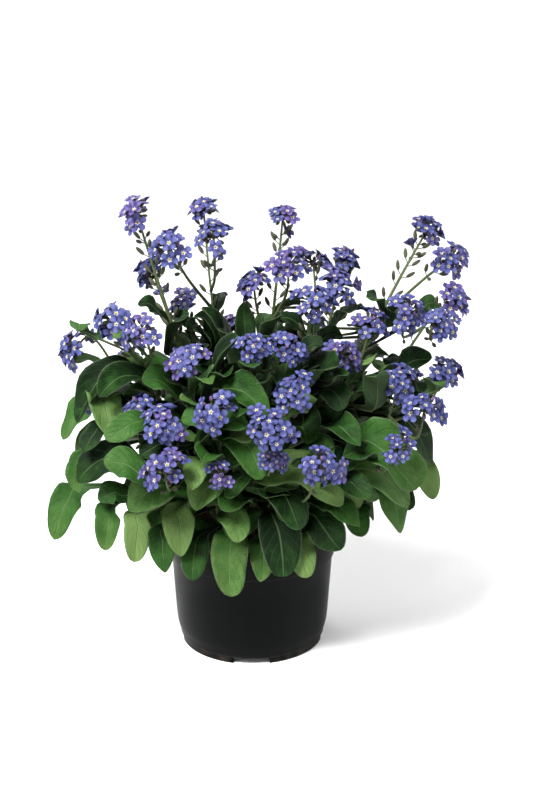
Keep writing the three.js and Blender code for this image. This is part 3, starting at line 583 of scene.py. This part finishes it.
# Each blade in the picture: where it starts to widen, its tip, and its widest width.
LEAVES = [
    # hanging over the rim, from left to right
    (-104, 16, 92, -124, -6, 66, 26), (-81, -35, 100, -86, -48, 76, 12), (-64, -40, 97, -68, -56, 72, 13),
    (-53, -45, 91, -54, -62, 70, 13), (-42, -50, 104, -40, -66, 80, 15), (-29, -48, 86, -34, -66, 65, 13),
    (-13, -50, 90, -16, -68, 56, 17), (1, -48, 84, 1, -66, 64, 13), (12, -50, 99, 19, -68, 68, 19),
    (26, -48, 86, 32, -66, 67, 13), (34, -46, 100, 53, -60, 82, 18), (55, -50, 101, 56, -64, 88, 12),
    # the broad ones in front, and the small ones between them
    (-10, -62, 127, 34, -84, 115, 20), (-15, -58, 103, -6, -76, 94, 13), (-36, -55, 118, -68, -74, 112, 19),
    (-64, -45, 126, -102, -48, 120, 19), (-70, -42, 109, -90, -45, 108, 12),
    (-2, -52, 109, -16, -77, 114, 13), (4, -60, 128, -1, -80, 120, 10), (-24, -60, 135, -32, -82, 126, 12),
    (-40, -50, 142, -62, -66, 142, 14), (33, -60, 123, 80, -72, 109, 23), (49, -60, 126, 66, -82, 123, 13),
    (40, -58, 112, 61, -76, 102, 13),
    # the left side
    (-84, -28, 168, -70, -58, 144, 15), (-85, -35, 148, -96, -50, 138, 10),
    (-54, -58, 153, -76, -72, 146, 13), (-90, -8, 156, -116, -12, 134, 15),
    (-90, 4, 136, -108, -6, 118, 13), (-98, -15, 124, -105, -25, 104, 12),
    (-79, -12, 182, -106, -22, 152, 13), (-62, -20, 174, -92, -36, 170, 13),
    (-49, -8, 187, -38, -22, 214, 12), (-24, -38, 166, -6, -52, 206, 19), (-16, -55, 177, 10, -74, 168, 14),
    (18, -30, 187, 6, -58, 174, 12), (-38, -55, 138, -12, -78, 158, 14), (-15, -60, 152, 12, -78, 132, 17),
    (-26, -50, 154, -38, -68, 176, 13), (-22, -10, 192, -32, -8, 210, 12),
    # the right side
    (32, -45, 174, 50, -62, 192, 17), (27, -48, 172, 38, -68, 166, 13), (45, -50, 152, 60, -78, 154, 14),
    (80, -4, 201, 68, -22, 224, 10), (86, -15, 178, 106, -20, 186, 12), (72, -42, 162, 74, -60, 186, 12),
    (64, -50, 146, 94, -64, 120, 23), (83, -30, 154, 108, -36, 126, 15), (96, -22, 126, 107, -38, 104, 12),
    (71, -35, 117, 88, -50, 88, 15), (82, -26, 120, 94, -34, 96, 15), (52, -38, 162, 64, -56, 178, 14),
    (47, -2, 196, 60, -12, 216, 12), (30, 0, 181, 16, -14, 201, 12),
]
# Blades all round: how many, between which bearings, radius and height of start and tip, and width.
LEAF_RINGS = [
    (9, (6, 174), (52, 96), (78, 70), 17), (8, (14, 166), (64, 124), (102, 108), 19),
    (7, (20, 160), (56, 146), (90, 144), 18), (5, (38, 142), (40, 164), (62, 180), 16),
    (6, (196, 344), (42, 92), (60, 78), 17), (6, (186, 354), (52, 118), (82, 104), 18),
    (5, (192, 348), (44, 148), (68, 148), 17),
]
# Small blades further in, which the solids leave out.
FILLING_RINGS = [
    (7, (-20, 200), (34, 88), (60, 72), 14), (5, (-38, 38), (48, 92), (72, 78), 15),
    (4, (150, 206), (50, 96), (74, 80), 15), (8, (-30, 210), (44, 114), (74, 118), 15),
    (12, (0, 360), (20, 108), (48, 146), 14), (12, (0, 360), (16, 132), (42, 178), 13),
    (10, (0, 360), (12, 156), (34, 208), 11), (9, (-25, 205), (56, 136), (84, 154), 14),
    (12, (0, 360), (40, 156), (66, 182), 12),
]
SPREADS = {0: 10, 200: 17, 400: 10, 600: 0.3}  # of a blade's bearing, sweep, height and width
SOLID_ROWS, SOLID_WIDTHS = (0, 0.3, 0.62, 0.88, 1), (0.1, 0.5, 1, 0.82, 0)
FOLD, ROLL, ARCH = 0.22, 38, 0.18
STEPS_ASIDE = [
    (lift, turn) for lift in (0, 5, -5, 10, -10, 15) for turn in (0, 4, -4, 8, -8, 13, -13, 18, -18)
]
# Room: between blades, between those of one stem, about shoots, about heads, and what is looked at.
LEAF_GAP, GAP_ON_STEM, SHOOT_GAP, HEAD_REACH, HEAD_GAP, NEAR = 2.8, 3.2, 3, 9, 0.3, 12
SAMPLE_ROWS, OUTER_SAMPLES, LEAF_PLACES, LAST_LEAF_SHARE = 13, 10, 20, 0.8
ROOT_INWARDS, ROOT_BELOW, UPWARDS = 0.72, 8, np.array((0, 0, 1.0))
# The small blades that sit up the shoots.
STEM_LEAF_SPACING, STEM_LEAF_LENGTH, YOUNG_SHORTER, GOLDEN_TURN = 15, 46, 24, 2.399963
FIRST_STEM_SHARE, STEM_SHARES, LOWEST_STEM_LEAF, HIGHEST_STEM_LEAF = 0.08, 0.7, 80, 205
PLANT_HALF_WIDTH, PLANT_HALF_DEPTH = 112, 86


def turned_about(vectors, axes, angle):
    """Vectors turned about unit axes by an angle in radians, one for each or one for all."""
    angle = np.asarray(angle)[..., None]
    cos, sin = np.cos(angle), np.sin(angle)
    dots = (vectors * axes).sum(-1, keepdims=True)
    return vectors * cos + np.cross(axes, vectors) * sin + axes * dots * (1 - cos)


class Leaf:
    """A blade: line is where its midrib goes, heading its level direction, roll its sideways tilt."""

    def __init__(self, shoot_point, start, tip, width):
        self.owner, spot, self.root = shoot_point
        crown = (start + tip) / 2 + np.array((0, 0, ARCH * np.linalg.norm(tip - start)))
        self.line = Line([spot, start, crown, tip])
        level = (tip - start) * (1, 1, 0)
        self.heading, self.width = unit(level), width
        self.roll = math.radians(ROLL) * self.heading[0] * -np.sign(start[1])

    def frame(self, line, share, roll):
        ahead = line.heading(share)
        across = np.array((self.heading[1], -self.heading[0], 0))
        side = turned_about(across, ahead, roll)
        return line.at(share), side, unit(np.cross(side, ahead))

    def samples(self):
        share = np.repeat(np.arange(2, SAMPLE_ROWS + 1) / SAMPLE_ROWS, 5)
        across = np.tile((-1, -0.5, 0, 0.5, 1), SAMPLE_ROWS - 1)[:, None]
        middle, side, normal = self.frame(self.line, share, self.roll)
        half = (0.5 * self.width * np.interp(share, SOLID_ROWS, SOLID_WIDTHS))[:, None]
        return middle + side * across * half + normal * abs(across) * FOLD * half


def shoot_points():
    """Where leaves can grow from: owner, the solid's point, and that of the grown shoot."""
    shares = [LAST_LEAF_SHARE * k / LEAF_PLACES for k in range(1, LEAF_PLACES + 1)]
    return [
        (owner, shoot.row_point(share), shoot.line.at(share)[0])
        for owner, shoots in plants.items() for shoot in shoots for share in shares
    ]


def ring_places(rings, first_seed):
    """The leaves of rings, each a little off its even place."""
    for index, (count, span, start, tip, width) in enumerate(rings):
        for k in range(count):
            seed = 31 * index + k + first_seed
            turn, sweep, rise, wide = (much * (draw(seed + n) - 0.5) for n, much in SPREADS.items())
            bearing = math.radians(span[0] + (span[1] - span[0]) * (k + 0.5) / count + turn)
            swept = bearing + math.radians(sweep)
            yield (
                at_bearing(bearing, start[0], start[1] + rise),
                at_bearing(swept, tip[0], tip[1] + rise),
                width * (1 + wide),
            )


class Held:
    """Room that is taken: points of one owner, and how far from each is kept free."""

    def __init__(self, owner, points, radius, leaf=False):
        self.owner, self.points, self.radius, self.leaf = owner, points, radius, leaf
        self.low, self.high = points.min(0), points.max(0)


def room(samples, owner, held, lows, highs, gap_on_stem):
    """How far a leaf's nearest point is outside all that other pieces hold."""
    low, high = samples.min(0), samples.max(0)
    near = ((lows <= high + NEAR) & (highs >= low - NEAR)).all(1)
    least = math.inf
    for index in np.flatnonzero(near):
        other = held[index]
        same = other.owner == owner
        if same and not other.leaf:
            continue
        radius, first = (gap_on_stem, OUTER_SAMPLES) if same else (other.radius, 0)
        points = other.points[first:]
        points = points[((points >= low - radius) & (points <= high + radius)).all(1)]
        if len(points):
            apart = np.sqrt(((samples[first:, None] - points) ** 2).sum(2).min())
            least = min(least, apart - radius)
    return least


def grown_leaves(places, held, gap=LEAF_GAP, gap_on_stem=GAP_ON_STEM, give_up=-math.inf):
    """Each leaf steps aside until it is clear of what others hold."""
    points = shoot_points()
    spots = np.array([spot for _, spot, _ in points])
    leaves = []
    for start, tip, width in places:
        best = (-math.inf, None, None)
        lows, highs = np.array([h.low for h in held]), np.array([h.high for h in held])
        for lift, turn in STEPS_ASIDE:
            ends = turned_about(np.array((start, tip), float), UPWARDS, math.radians(turn))
            begin, end = ends + (0, 0, lift)
            inwards = begin * (ROOT_INWARDS, ROOT_INWARDS, 1) - (0, 0, ROOT_BELOW)
            nearest = np.linalg.norm(spots - inwards, axis=1).argmin()
            leaf = Leaf(points[nearest], begin, end, width)
            samples = leaf.samples()
            space = room(samples, leaf.owner, held, lows, highs, gap_on_stem)
            if space > best[0]:
                best = (space, leaf, samples)
            if space >= 0:
                break
        if best[0] >= give_up:
            leaves.append(best[1])
            held.append(Held(best[1].owner, best[2], gap, leaf=True))
    return leaves


held = [
    Held(None, shoot.middle[None], HEAD_REACH * shoot.size + HEAD_GAP)
    for shoots in plants.values() for shoot in shoots if not shoot.small
]
held += [
    Held(name, shoot.solid_line.at(np.linspace(0, 1, 41)), SHOOT_GAP)
    for name, shoots in plants.items() for shoot in shoots
]
seen = [(row[:3], row[3:6], row[6]) for row in LEAVES]
leaves = grown_leaves([*seen, *ring_places(LEAF_RINGS, 0)], held)
leaves += grown_leaves(ring_places(FILLING_RINGS, 1000), held, gap=1.6, gap_on_stem=1.8, give_up=-1.0)


def stem_places():
    """The leaves up the shoots, smaller towards the top."""
    for number, shoot in enumerate(shoot for shoots in plants.values() for shoot in shoots):
        length = np.linalg.norm(shoot.line.points[-1] - shoot.line.points[0])
        steps = max(1, int(length * STEM_SHARES / STEM_LEAF_SPACING))
        for k in range(steps):
            seed = 5000 + 20 * number + k
            share = FIRST_STEM_SHARE + STEM_SHARES * (k + draw(seed)) / steps
            spot = shoot.line.at(share)[0]
            if not LOWEST_STEM_LEAF < spot[2] < HIGHEST_STEM_LEAF:
                continue
            young = (spot[2] - LOWEST_STEM_LEAF) / 150
            reach = (STEM_LEAF_LENGTH - YOUNG_SHORTER * young) * (0.85 + 0.3 * draw(seed + 1))
            turn = GOLDEN_TURN * (k + 3 * number) + draw(seed + 2)
            out = at_bearing(turn, 1, 0) + 0.5 * unit(spot * (1, 1, 0) + (0.01, 0, 0))
            out = unit(unit(out) + (0, 0, 0.3 + 0.5 * young + 0.3 * draw(seed + 3)))
            tip = spot + reach * out - (0, 0, 5)
            if abs(tip[0]) <= PLANT_HALF_WIDTH and abs(tip[1]) <= PLANT_HALF_DEPTH:
                yield spot + 0.3 * reach * out, tip, reach * (0.4 - 0.08 * young)


leaves += grown_leaves(stem_places(), held, gap=0.9, gap_on_stem=1.2, give_up=-1.2)

bm = bmesh.new()
bmesh.ops.create_grid(bm, x_segments=BLADE_COLUMNS, y_segments=BLADE_ROWS, size=1)
bmesh.ops.solidify(bm, geom=bm.faces[:], thickness=0.1)
blade = Shape(bm)
blade_across = blade.spots[:, 0]
blade_share = 1 - (0.5 - blade.spots[:, 1] / 2).clip(0, 1) ** 1.5
blade_top = blade.spots[:, 2] > blade.spots[:, 2].mean()
midrib = rod(6, 12)


class Blade:
    """The fine form of a leaf, with an outline, fold, twist and waves of its own."""

    def __init__(self, leaf, seed):
        some = [draw(seed + k) for k in range(9)]
        self.leaf, self.line = leaf, Line([leaf.root, *leaf.line.points[1:]])
        turned_front = leaf.line.points[1, 1] * leaf.line.points[-1, 1] < 0
        self.roll = -leaf.roll if turned_front else leaf.roll
        self.half = 0.5 * BLADE_BREADTH * leaf.width * (0.62 if turned_front else 1)
        self.twist, self.sway = 1.6 * (some[0] - 0.5), 0.08 + 0.24 * some[3]
        self.sickle = 0.7 * (draw(seed + 9) - 0.5)
        self.waves, self.phase = 1.5 + 1.6 * some[1], some[2]
        self.droop, self.fold = 3.2 * (some[4] - 0.25), 0.1 + 0.55 * some[6] ** 1.6
        self.tip_fullness, self.tip_point = 1.7 + 0.9 * some[7], 0.48 + 0.4 * some[8] ** 2
        x, y, z = leaf.line.at(0.7)[0]
        # The tone mixes each leaf's own random green with painted shade: leaves deep inside the plant and
        # leaves on its right are darker. Lower leaves are lighter, and a few young ones fresher.
        outer = min(max((math.hypot(x, y) - 34) / 44, 0), 1)
        young = 0.22 if draw(seed + 10) < 0.14 and outer > 0.3 and leaf.width < 16 else 0
        painted_right_shade = 0.2 * min(max(x / 80, 0), 1)
        tone = 0.95 * some[5] + 0.6 * outer + 0.3 * (186 - z) / 120 - 0.74 + young - painted_right_shade
        self.tone = min(max(tone, 0.02), 0.98)

    def outline(self, share):
        """Half the blade's width along its length, of its widest."""
        foot = 0.1 + 0.9 * np.sin(np.pi / 2 * (share / WIDEST).clip(0, 1)) ** 1.7
        head = 1 - ((share - WIDEST) / (1 - WIDEST)).clip(0, 1) ** self.tip_fullness
        return np.where(share < WIDEST, foot, head**self.tip_point) + 0.02

    def at(self, across, share, lift):
        """Points of the blade: across is from -1 to 1, and past that millimetres over the edge."""
        leaf, far = self.leaf, abs(across).clip(0, 1)
        middle, side, normal = leaf.frame(self.line, share, self.roll + self.twist * (share - 0.5))
        half = self.half * self.outline(share)
        wave = self.sway * np.sin(2 * np.pi * (self.waves * share + self.phase + 0.18 * np.sign(across)))
        rise = half * (self.fold * (0.45 * far + 0.55 * far**2) + wave * far**1.6)
        rise -= self.droop * leaf.width * 0.12 * ((share - 0.58) / 0.42).clip(0, 1) ** 2
        rise -= 0.3 * np.exp(-((far / 0.12) ** 2))
        out = np.sign(across) * (far * half * (1 - 0.05 * far) + (abs(across) - 1).clip(0))
        out += self.sickle * self.half * np.sin(np.pi * share.clip(0, 1) ** 2)
        return middle + side * out[:, None] + normal * (rise + lift)[:, None]


# Short hairs along both edges of a blade, in the numbers that Blade.at takes.
bm = bmesh.new()
for k in range(EDGE_HAIRS):
    edge, share = (-1) ** k, 0.2 + 0.79 * (k + draw(k)) / EDGE_HAIRS
    made = bmesh.ops.create_cone(bm, cap_ends=True, segments=3, radius1=HAIR_RADIUS, depth=1)
    for corner in made["verts"]:
        tip = corner.co.z > 0
        around, up = corner.co.x * 0.06, corner.co.y
        reach = (0.6 + 0.8 * draw(k + 300)) * HAIR_LENGTH if tip else -0.02
        lean = 0.5 * tip * (draw(k + 600) - 0.4)
        corner.co = (edge * (1 + reach), share + around + 0.012 * tip, up + lean)
bmesh.ops.recalc_face_normals(bm, faces=bm.faces)
edge_hairs = Shape(bm)


def grow_blade(bm, leaf, seed):
    """One fine blade with its midrib under it and hairs along its edges."""
    made = Blade(leaf, seed)
    far = abs(blade_across)
    thick = BLADE_THICKNESS / 2 * (1 - 0.5 * far**2)
    spots = made.at(blade_across, blade_share, np.where(blade_top, thick, -thick))
    tones = np.where(blade_top, made.tone, -made.tone)  # below zero on the underside
    blade.put(bm, spots, (blade_across, blade_share, tones), finish=0)
    stations = np.linspace(0, 0.96, 7)
    below = Line(made.at(0 * stations, stations, 0 * stations - 0.25))
    midrib.grow(bm, below, lambda share: (0.03 * leaf.width + 0.3) * (1 - 0.86 * share), -made.tone, 1)
    hairs = made.at(*edge_hairs.spots.T)
    edge_hairs.put(bm, hairs, (1, edge_hairs.spots[:, 1], made.tone), finish=0)


leaf_green = Finish("leaf_green", Roughness=0.5, Specular_IOR_Level=0.08)
place = on_piece(leaf_green)
across, share, tone = carried(leaf_green)
mottle = cloudy(leaf_green, place, 9, 4, 0.6)
fine = cloudy(leaf_green, place, 0.8, 4, 0.6)
# Besides its tone and mottling, each blade gets painted shade: darker towards its foot and lighter towards
# its tip.
tone_and_painted_shade = abs(tone) + (mottle - 0.5) * 0.7 + (fine - 0.5) * 0.5 + (share - 0.5) * 0.42 - 0.08
colour = blended(tone_and_painted_shade.between(0.4, 1.05), blended(tone_and_painted_shade.between(0.0, 0.5), DEEP_GREEN_AND_SHADE, MIDDLE), FRESH)
veins = (share * 9 - abs(across) * 2.2 + mottle * 0.5).fraction()
vein_lines = abs(veins - 0.5).between(0.07, 0.0) * abs(across).between(0.0, 0.3)
rib = abs(across).between(0.065, 0.015)
edge = abs(across).between(0.93, 1.0)
colour = blended(rib * 0.5 * (1 - share * 0.4), colour, PALE_RIB)
colour = blended(vein_lines * 0.12, colour, PALE_RIB)
colour = blended(edge * fine * 0.9, colour, EDGE)
colour = blended(tone.between(0.02, -0.02) * 0.5, colour, UNDERSIDE)
leaf_green.set(
    Base_Color=colour,
    Roughness=fine * 0.25 + 0.42,
    Normal=raised(fine * 0.4 + mottle * 0.8 - vein_lines * 0.3 - rib * 0.4, 1.0),
)


# Flower heads
#
# Round clusters of about ten small flowers on short stalks. Each flower is a flat wheel of five round
# lobes, 9 mm across, about a white and yellow ring; the dark disc in its middle is painted shade, where
# its tube opens. Behind it is a hairy calyx, and between the flowers are purple buds. All of a head
# stands out of a small green core.
FLOWER_RADIUS, FLOWER_DISTANCE, FLOWERS = 5.2, 7.7, 9.5
PETALS, PETAL_AXIS, POINTS_A_LOBE = 5, 0.635, 6
EYE_RING, MID_PETAL, CREASED_FROM = 0.17, 0.6, 0.49
BUDS, SPENT, STRAYS = 8, 8, 4
CORE_LENGTH, CORE_WIDTH, STALK_FROM = 2.2, 2.0, 1.2
TO_THE_LIGHT = np.array((-0.1, -0.5, 0.5))
BLUE, VIOLET = (0.016, 0.019, 0.074, 1), (0.03, 0.017, 0.074, 1)
BLUE_LIGHT, VIOLET_LIGHT = (0.054, 0.061, 0.17, 1), (0.085, 0.058, 0.172, 1)
WHITE, YELLOW, THROAT_SHADE = (0.32, 0.33, 0.4, 1), (0.34, 0.27, 0.05, 1), (0.02, 0.012, 0.006, 1)
CALYX, CALYX_DARK = (0.05, 0.055, 0.033, 1), (0.018, 0.015, 0.018, 1)
BUD_PURPLE, BUD_PINK = (0.04, 0.026, 0.075, 1), (0.12, 0.065, 0.14, 1)


def lobe(off):
    """How far a round petal reaches, by the share of its angle from its axis."""
    turn = off * 2 * math.pi / PETALS
    rest = (1 - PETAL_AXIS) ** 2 - (PETAL_AXIS * math.sin(turn)) ** 2
    return PETAL_AXIS * math.cos(turn) + math.sqrt(max(rest, 0))


def wheel(cup, wave, seed):
    """A flower's wheel of petals with its rim at 1: cup lifts the lobes' tips, wave bends each."""
    face = [(0, 0), (EYE_RING, 0.05), (MID_PETAL, 0.1), (1, 0.1)]
    bm = turned([*face, (EYE_RING * 1.3, -0.25), (0, -0.25)], PETALS * POINTS_A_LOBE)
    for corner in bm.verts:
        far, angle = corner.co.to_2d().length, math.atan2(corner.co.y, corner.co.x)
        which = math.floor((angle / (2 * math.pi) * PETALS + 0.5) % PETALS)
        off = (angle * PETALS / (2 * math.pi) + 0.5) % 1 - 0.5
        tilt = 0.26 * (draw(seed + which) - 0.5) + 0.3 * (draw(seed + which + 50) - 0.5) * off
        lift = cup * far**2 + tilt * far + wave * far * math.cos(PETALS * angle)
        if corner.co.z > -0.2:
            reach = lobe(off) if far > 0.9 else 1 + (lobe(off) - 1) * 0.8 * (far > 0.5)
            corner.co.x *= reach
            corner.co.y *= reach
            corner.co.z += lift + (0.05 if 0.1 < far < 0.3 else 0) - (0.14 if far < 0.05 else 0)
    for edge in bm.edges:
        edge.smooth = not all(corner.co.to_2d().length > CREASED_FROM for corner in edge.verts)
    return Shape(bm)


wheels = [wheel(0.04, -0.03, 3), wheel(0.14, -0.04, 9), wheel(-0.1, 0.03, 15), wheel(0.3, -0.03, 21)]
stalk = rod(6, 9)
bm = bmesh.new()
bmesh.ops.create_uvsphere(bm, u_segments=8, v_segments=7, radius=1)
bmesh.ops.translate(bm, vec=(0, 0, 1), verts=bm.verts)
bmesh.ops.scale(bm, vec=(1, 1, 0.5), verts=bm.verts)
bead = Shape(bm)


def calyx_width(share):
    """How a flower's stalk swells into its calyx."""
    return 0.36 + 0.79 * np.exp(-(((share - 0.74) / 0.2) ** 2))


def facing(direction, spin):
    """The turn that makes a shape's +Z look along a direction, after a spin about it."""
    turn = Vector(direction).to_track_quat("Z", "Y").to_matrix()
    return np.array(turn @ Matrix.Rotation(spin, 3, "Z"))


def flower(bm, place, face, radius, root, tone, seed, finish):
    """One open flower that looks along face, on its calyx and a stalk from root."""
    shape = wheels[int(4 * draw(seed)) % 4]
    spots = place + radius * shape.spots @ facing(face, 6.28 * draw(seed + 1)).T
    shape.put(bm, spots, (*shape.spots[:, :2].T, tone), finish)
    stem = Line([root, root + 0.55 * (place - root) - 0.5 * face, place - 0.12 * radius * face])
    stalk.grow(bm, stem, calyx_width, 0.3 * draw(seed + 2), finish + 1)


def bud(bm, root, out, reach, wide, tone, coloured, finish):
    """A bud, or a green calyx whose flower is over, on a short stalk."""
    neck = root + reach * out
    stalk.grow(bm, Line([root, neck]), lambda share: 0.34, 0.2, finish)
    body = Line([neck - 0.3 * out, neck + 1.6 * out, neck + 3.4 * out + (0, 0, 0.4)])
    bead.grow(bm, body, lambda share: wide, tone, finish, coloured)


def off_shoot(shoot, at, turn):
    """A point of a shoot, its heading there, and a direction square to that, turned about it."""
    ahead = shoot.line.heading(at)[0]
    side = unit(np.cross(ahead, (0.3, 1, 0.2)))
    return shoot.line.at(at)[0], ahead, turned_about(side, ahead, turn)


def flower_head(bm, shoot, seed, finish):
    """Open flowers over the outer side, buds between them, spent calyces behind, and strays below."""
    middle, size = shoot.middle, shoot.size
    outward = unit(middle * (1, 1, 0))
    outer = min(np.hypot(*middle[:2]) / 70, 1)
    open_side = unit(0.7 * shoot.along + 0.8 * outward * outer + TO_THE_LIGHT)
    lie = facing(open_side, 6.28 * draw(seed))
    oval = np.array((1.2 + 0.16 * draw(seed + 1), 0.86 + 0.12 * draw(seed + 2), 1))
    half = CORE_LENGTH * size * open_side
    core = Line([middle - half, middle, middle + half])
    bead.grow(bm, core, lambda share: CORE_WIDTH * size, 0.3, finish + 1)
    violet = 0.75 * draw(seed + 3) - 0.2
    flowers = int(round(FLOWERS * size + 4 * (draw(seed + 4) - 0.5)))
    dome = 0.5 + 0.6 * draw(seed + 6)
    first = 2 * np.pi * draw(seed + 5)
    for k in range(flowers):
        one = seed + 1000 + 50 * k
        rise = 1 - 1.25 * (k + 0.3 + 0.4 * draw(one)) / flowers
        turn = first + GOLDEN_TURN * k + 0.9 * (draw(one + 1) - 0.5)
        flat = math.sqrt(max(0, 1 - rise * rise))
        out = lie @ (at_bearing(turn, flat, 0.85 * rise) * oval)
        far = (FLOWER_DISTANCE + 3.2 * (draw(one + 2) - 0.55)) * size
        lean = np.array((draw(one + 3), draw(one + 4), draw(one + 5) + 0.35)) - 0.5
        face = unit(unit(out) + 0.9 * lean + dome * open_side)
        tone = violet + 0.7 * (draw(one + 6) - 0.35)
        radius = FLOWER_RADIUS * (0.78 + 0.3 * draw(one + 7)) * min(size, 1.04)
        root = middle + STALK_FROM * size * unit(out)
        flower(bm, middle + far * out, face, radius, root, tone, one + 8, finish)
    for k in range(BUDS + SPENT):
        one = seed + 3000 + 50 * k
        spent = k >= BUDS
        rise = -0.25 - 0.6 * draw(one) if spent else 1 - 1.1 * (k + 0.5) / BUDS
        turn = first + 1.2 + GOLDEN_TURN * k
        flat = math.sqrt(1 - rise * rise)
        out = unit(lie @ at_bearing(turn, flat, rise))
        reach = (1.6 + 1.6 * draw(one + 1)) * size + (0 if spent else 1.0)
        tone = 0.2 if spent else draw(one + 2)
        wide = 0.85 + 0.35 * draw(one + 3)
        bud(bm, middle + STALK_FROM * size * out, out, reach, wide, tone, not spent, finish + 1)
    if shoot.small:
        return
    last = len(shoot.line.points) - 1
    length = np.linalg.norm(shoot.line.points[-1] - shoot.line.points[-2]) * last
    for k in range(STRAYS):
        one = seed + 5000 + 50 * k
        at = 1 - min((8.5 + 4.2 * k + 2 * draw(one)) / length, 1 / last)
        spot, ahead, side = off_shoot(shoot, at, GOLDEN_TURN * k + first)
        out = unit(side + 0.55 * ahead)
        if draw(one + 1) < 0.42 - 0.3 * k:
            face, place = unit(out + 0.3 * outward), spot + (4.6 + draw(one + 2)) * out
            tone = violet + 0.4 * draw(one + 3)
            flower(bm, place, face, FLOWER_RADIUS * 0.94, spot, tone, one + 4, finish)
        else:
            reach, wide = 1.8 + 1.4 * draw(one + 5), 0.95 + 0.3 * draw(one + 6)
            bud(bm, spot, out, reach, wide, 0.2, False, finish + 1)


petal_blue = Finish("petal_blue", Specular_IOR_Level=0.15)
place = on_piece(petal_blue)
x, y, tone = carried(petal_blue)
far = (x * x + y * y) ** 0.5
fives = (y.bearing_of(x) * PETALS).cosine()
mottle = cloudy(petal_blue, place, 1.1, 3, 0.6)
hue = blended((tone + (mottle - 0.5) * 0.4).between(0.25, 0.95), BLUE, VIOLET)
pale = blended(tone.between(0.3, 1.1), BLUE_LIGHT, VIOLET_LIGHT)
colour = blended((far + (mottle - 0.5) * 0.6 + fives * 0.12).between(0.35, 0.95) * 0.85, hue, pale)
colour = blended(fives.between(0.55, 1.0) * far.between(0.66, 0.3) * 0.35, colour, BLUE_LIGHT)
colour = blended((far + fives * 0.08).between(0.27, 0.14) * (mottle * 0.5 + 0.45), colour, WHITE)
colour = blended((far - fives * 0.015).between(0.16, 0.13), colour, YELLOW)
# Painted shade: the middle of each flower is dark, where its tube opens.
petal_blue.set(
    Base_Color=blended(far.between(0.1, 0.06), colour, THROAT_SHADE),
    Roughness=mottle * 0.2 + 0.45,
    Normal=raised(cloudy(petal_blue, place, 0.6, 2), 0.12),
)

calyx_green = Finish("calyx_green", Roughness=0.8, Specular_IOR_Level=0.15)
coloured, share, tone = carried(calyx_green)
hairs = cloudy(calyx_green, on_piece(calyx_green), 0.35, 3, 0.7)
green = blended(hairs.between(0.3, 0.7), CALYX_DARK, CALYX)
bloom = blended(tone.between(0.5, 0.95), BUD_PURPLE, BUD_PINK)
calyx_green.set(
    Base_Color=blended(coloured.between(0.6, 0.9) * share.between(0.4, 0.62), green, bloom),
    Normal=raised(hairs, 0.3),
)


# Seed calyces
#
# The hairy cups of flowers that are over. They stand out of the upper stems on short stalks, one by
# one to either side, and close over the seed.
FIRST_SEED_SHARE, SEED_SHARES, SEED_SPACING, LOWEST_SEEDED_HEAD = 0.5, 0.43, 6.0, 196
SEED_STALK, SEED_LENGTH, SEED_RADIUS = 4.2, 6.2, 1.4


def seed_calyces(bm, shoot, seed):
    """The seed calyces along the upper half of a shoot."""
    length = np.linalg.norm(np.diff(shoot.line.at(np.linspace(0, 1, 20)), axis=0), axis=1).sum()
    count = int(length * SEED_SHARES / SEED_SPACING)
    for k in range(count):
        at = FIRST_SEED_SHARE + SEED_SHARES * (k + draw(seed + k)) / count
        turn = math.pi * (k % 2) + 1.4 * (draw(seed + k + 7) - 0.5)
        spot, ahead, side = off_shoot(shoot, at, turn)
        out = unit(0.75 * ahead + side)
        bend = spot + SEED_STALK * out
        tip = bend + SEED_LENGTH * unit(out + 0.7 * ahead)
        stalk.grow(bm, Line([spot, bend]), lambda share: 0.3, 0.4, 1)
        cup = Line([bend - 0.3 * out, (bend + tip) / 2, tip])
        tone = 0.75 + 0.25 * draw(seed + k + 9)
        bead.grow(bm, cup, lambda share: SEED_RADIUS * (1 - share / 4), tone, 1)


# Whole stems and heads
#
# Each stem with its shoots, leaves, seed calyces and small late heads is one grown piece that stands
# in the peat. Each larger flower head is a piece of its own, on the tip of its shoot.
GREENS = [finish.material for finish in (leaf_green, stem_green, petal_blue, calyx_green)]
for number, (name, shoots) in enumerate(plants.items()):
    bm = bmesh.new()
    for index, shoot in enumerate(shoots):
        shape = stem_rod if shoot.main else shoot_rod
        shape.grow(bm, shoot.line, shoot.thickness, 0.5 * shape.spots[:, 2] + 0.2, finish=1)
        if shoot.small:
            flower_head(bm, shoot, 100 * number + 13 * (index + 1), finish=2)
        elif shoot.middle[2] > LOWEST_SEEDED_HEAD:
            seed_calyces(bm, shoot, 500 * number + 40 * index)
    for seed, leaf in enumerate(leaves):
        if leaf.owner == name:
            grow_blade(bm, leaf, 10 * seed)
    small_heads = any(shoot.small for shoot in shoots)
    piece = finished(f"leafy_stem_{name}", bm, *GREENS[: 4 if small_heads else 2])
    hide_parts(f"stem_{name}")
    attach(piece, "root")
    for index, shoot in enumerate(shoots):
        if not shoot.small:
            bm = bmesh.new()
            flower_head(bm, shoot, 100 * number + 13 * (index + 1), finish=0)
            piece = finished(f"flowers_{name}_{index + 1}", bm, *GREENS[2:])
            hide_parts(f"head_{name}_{index + 1}")
            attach(piece, "root")
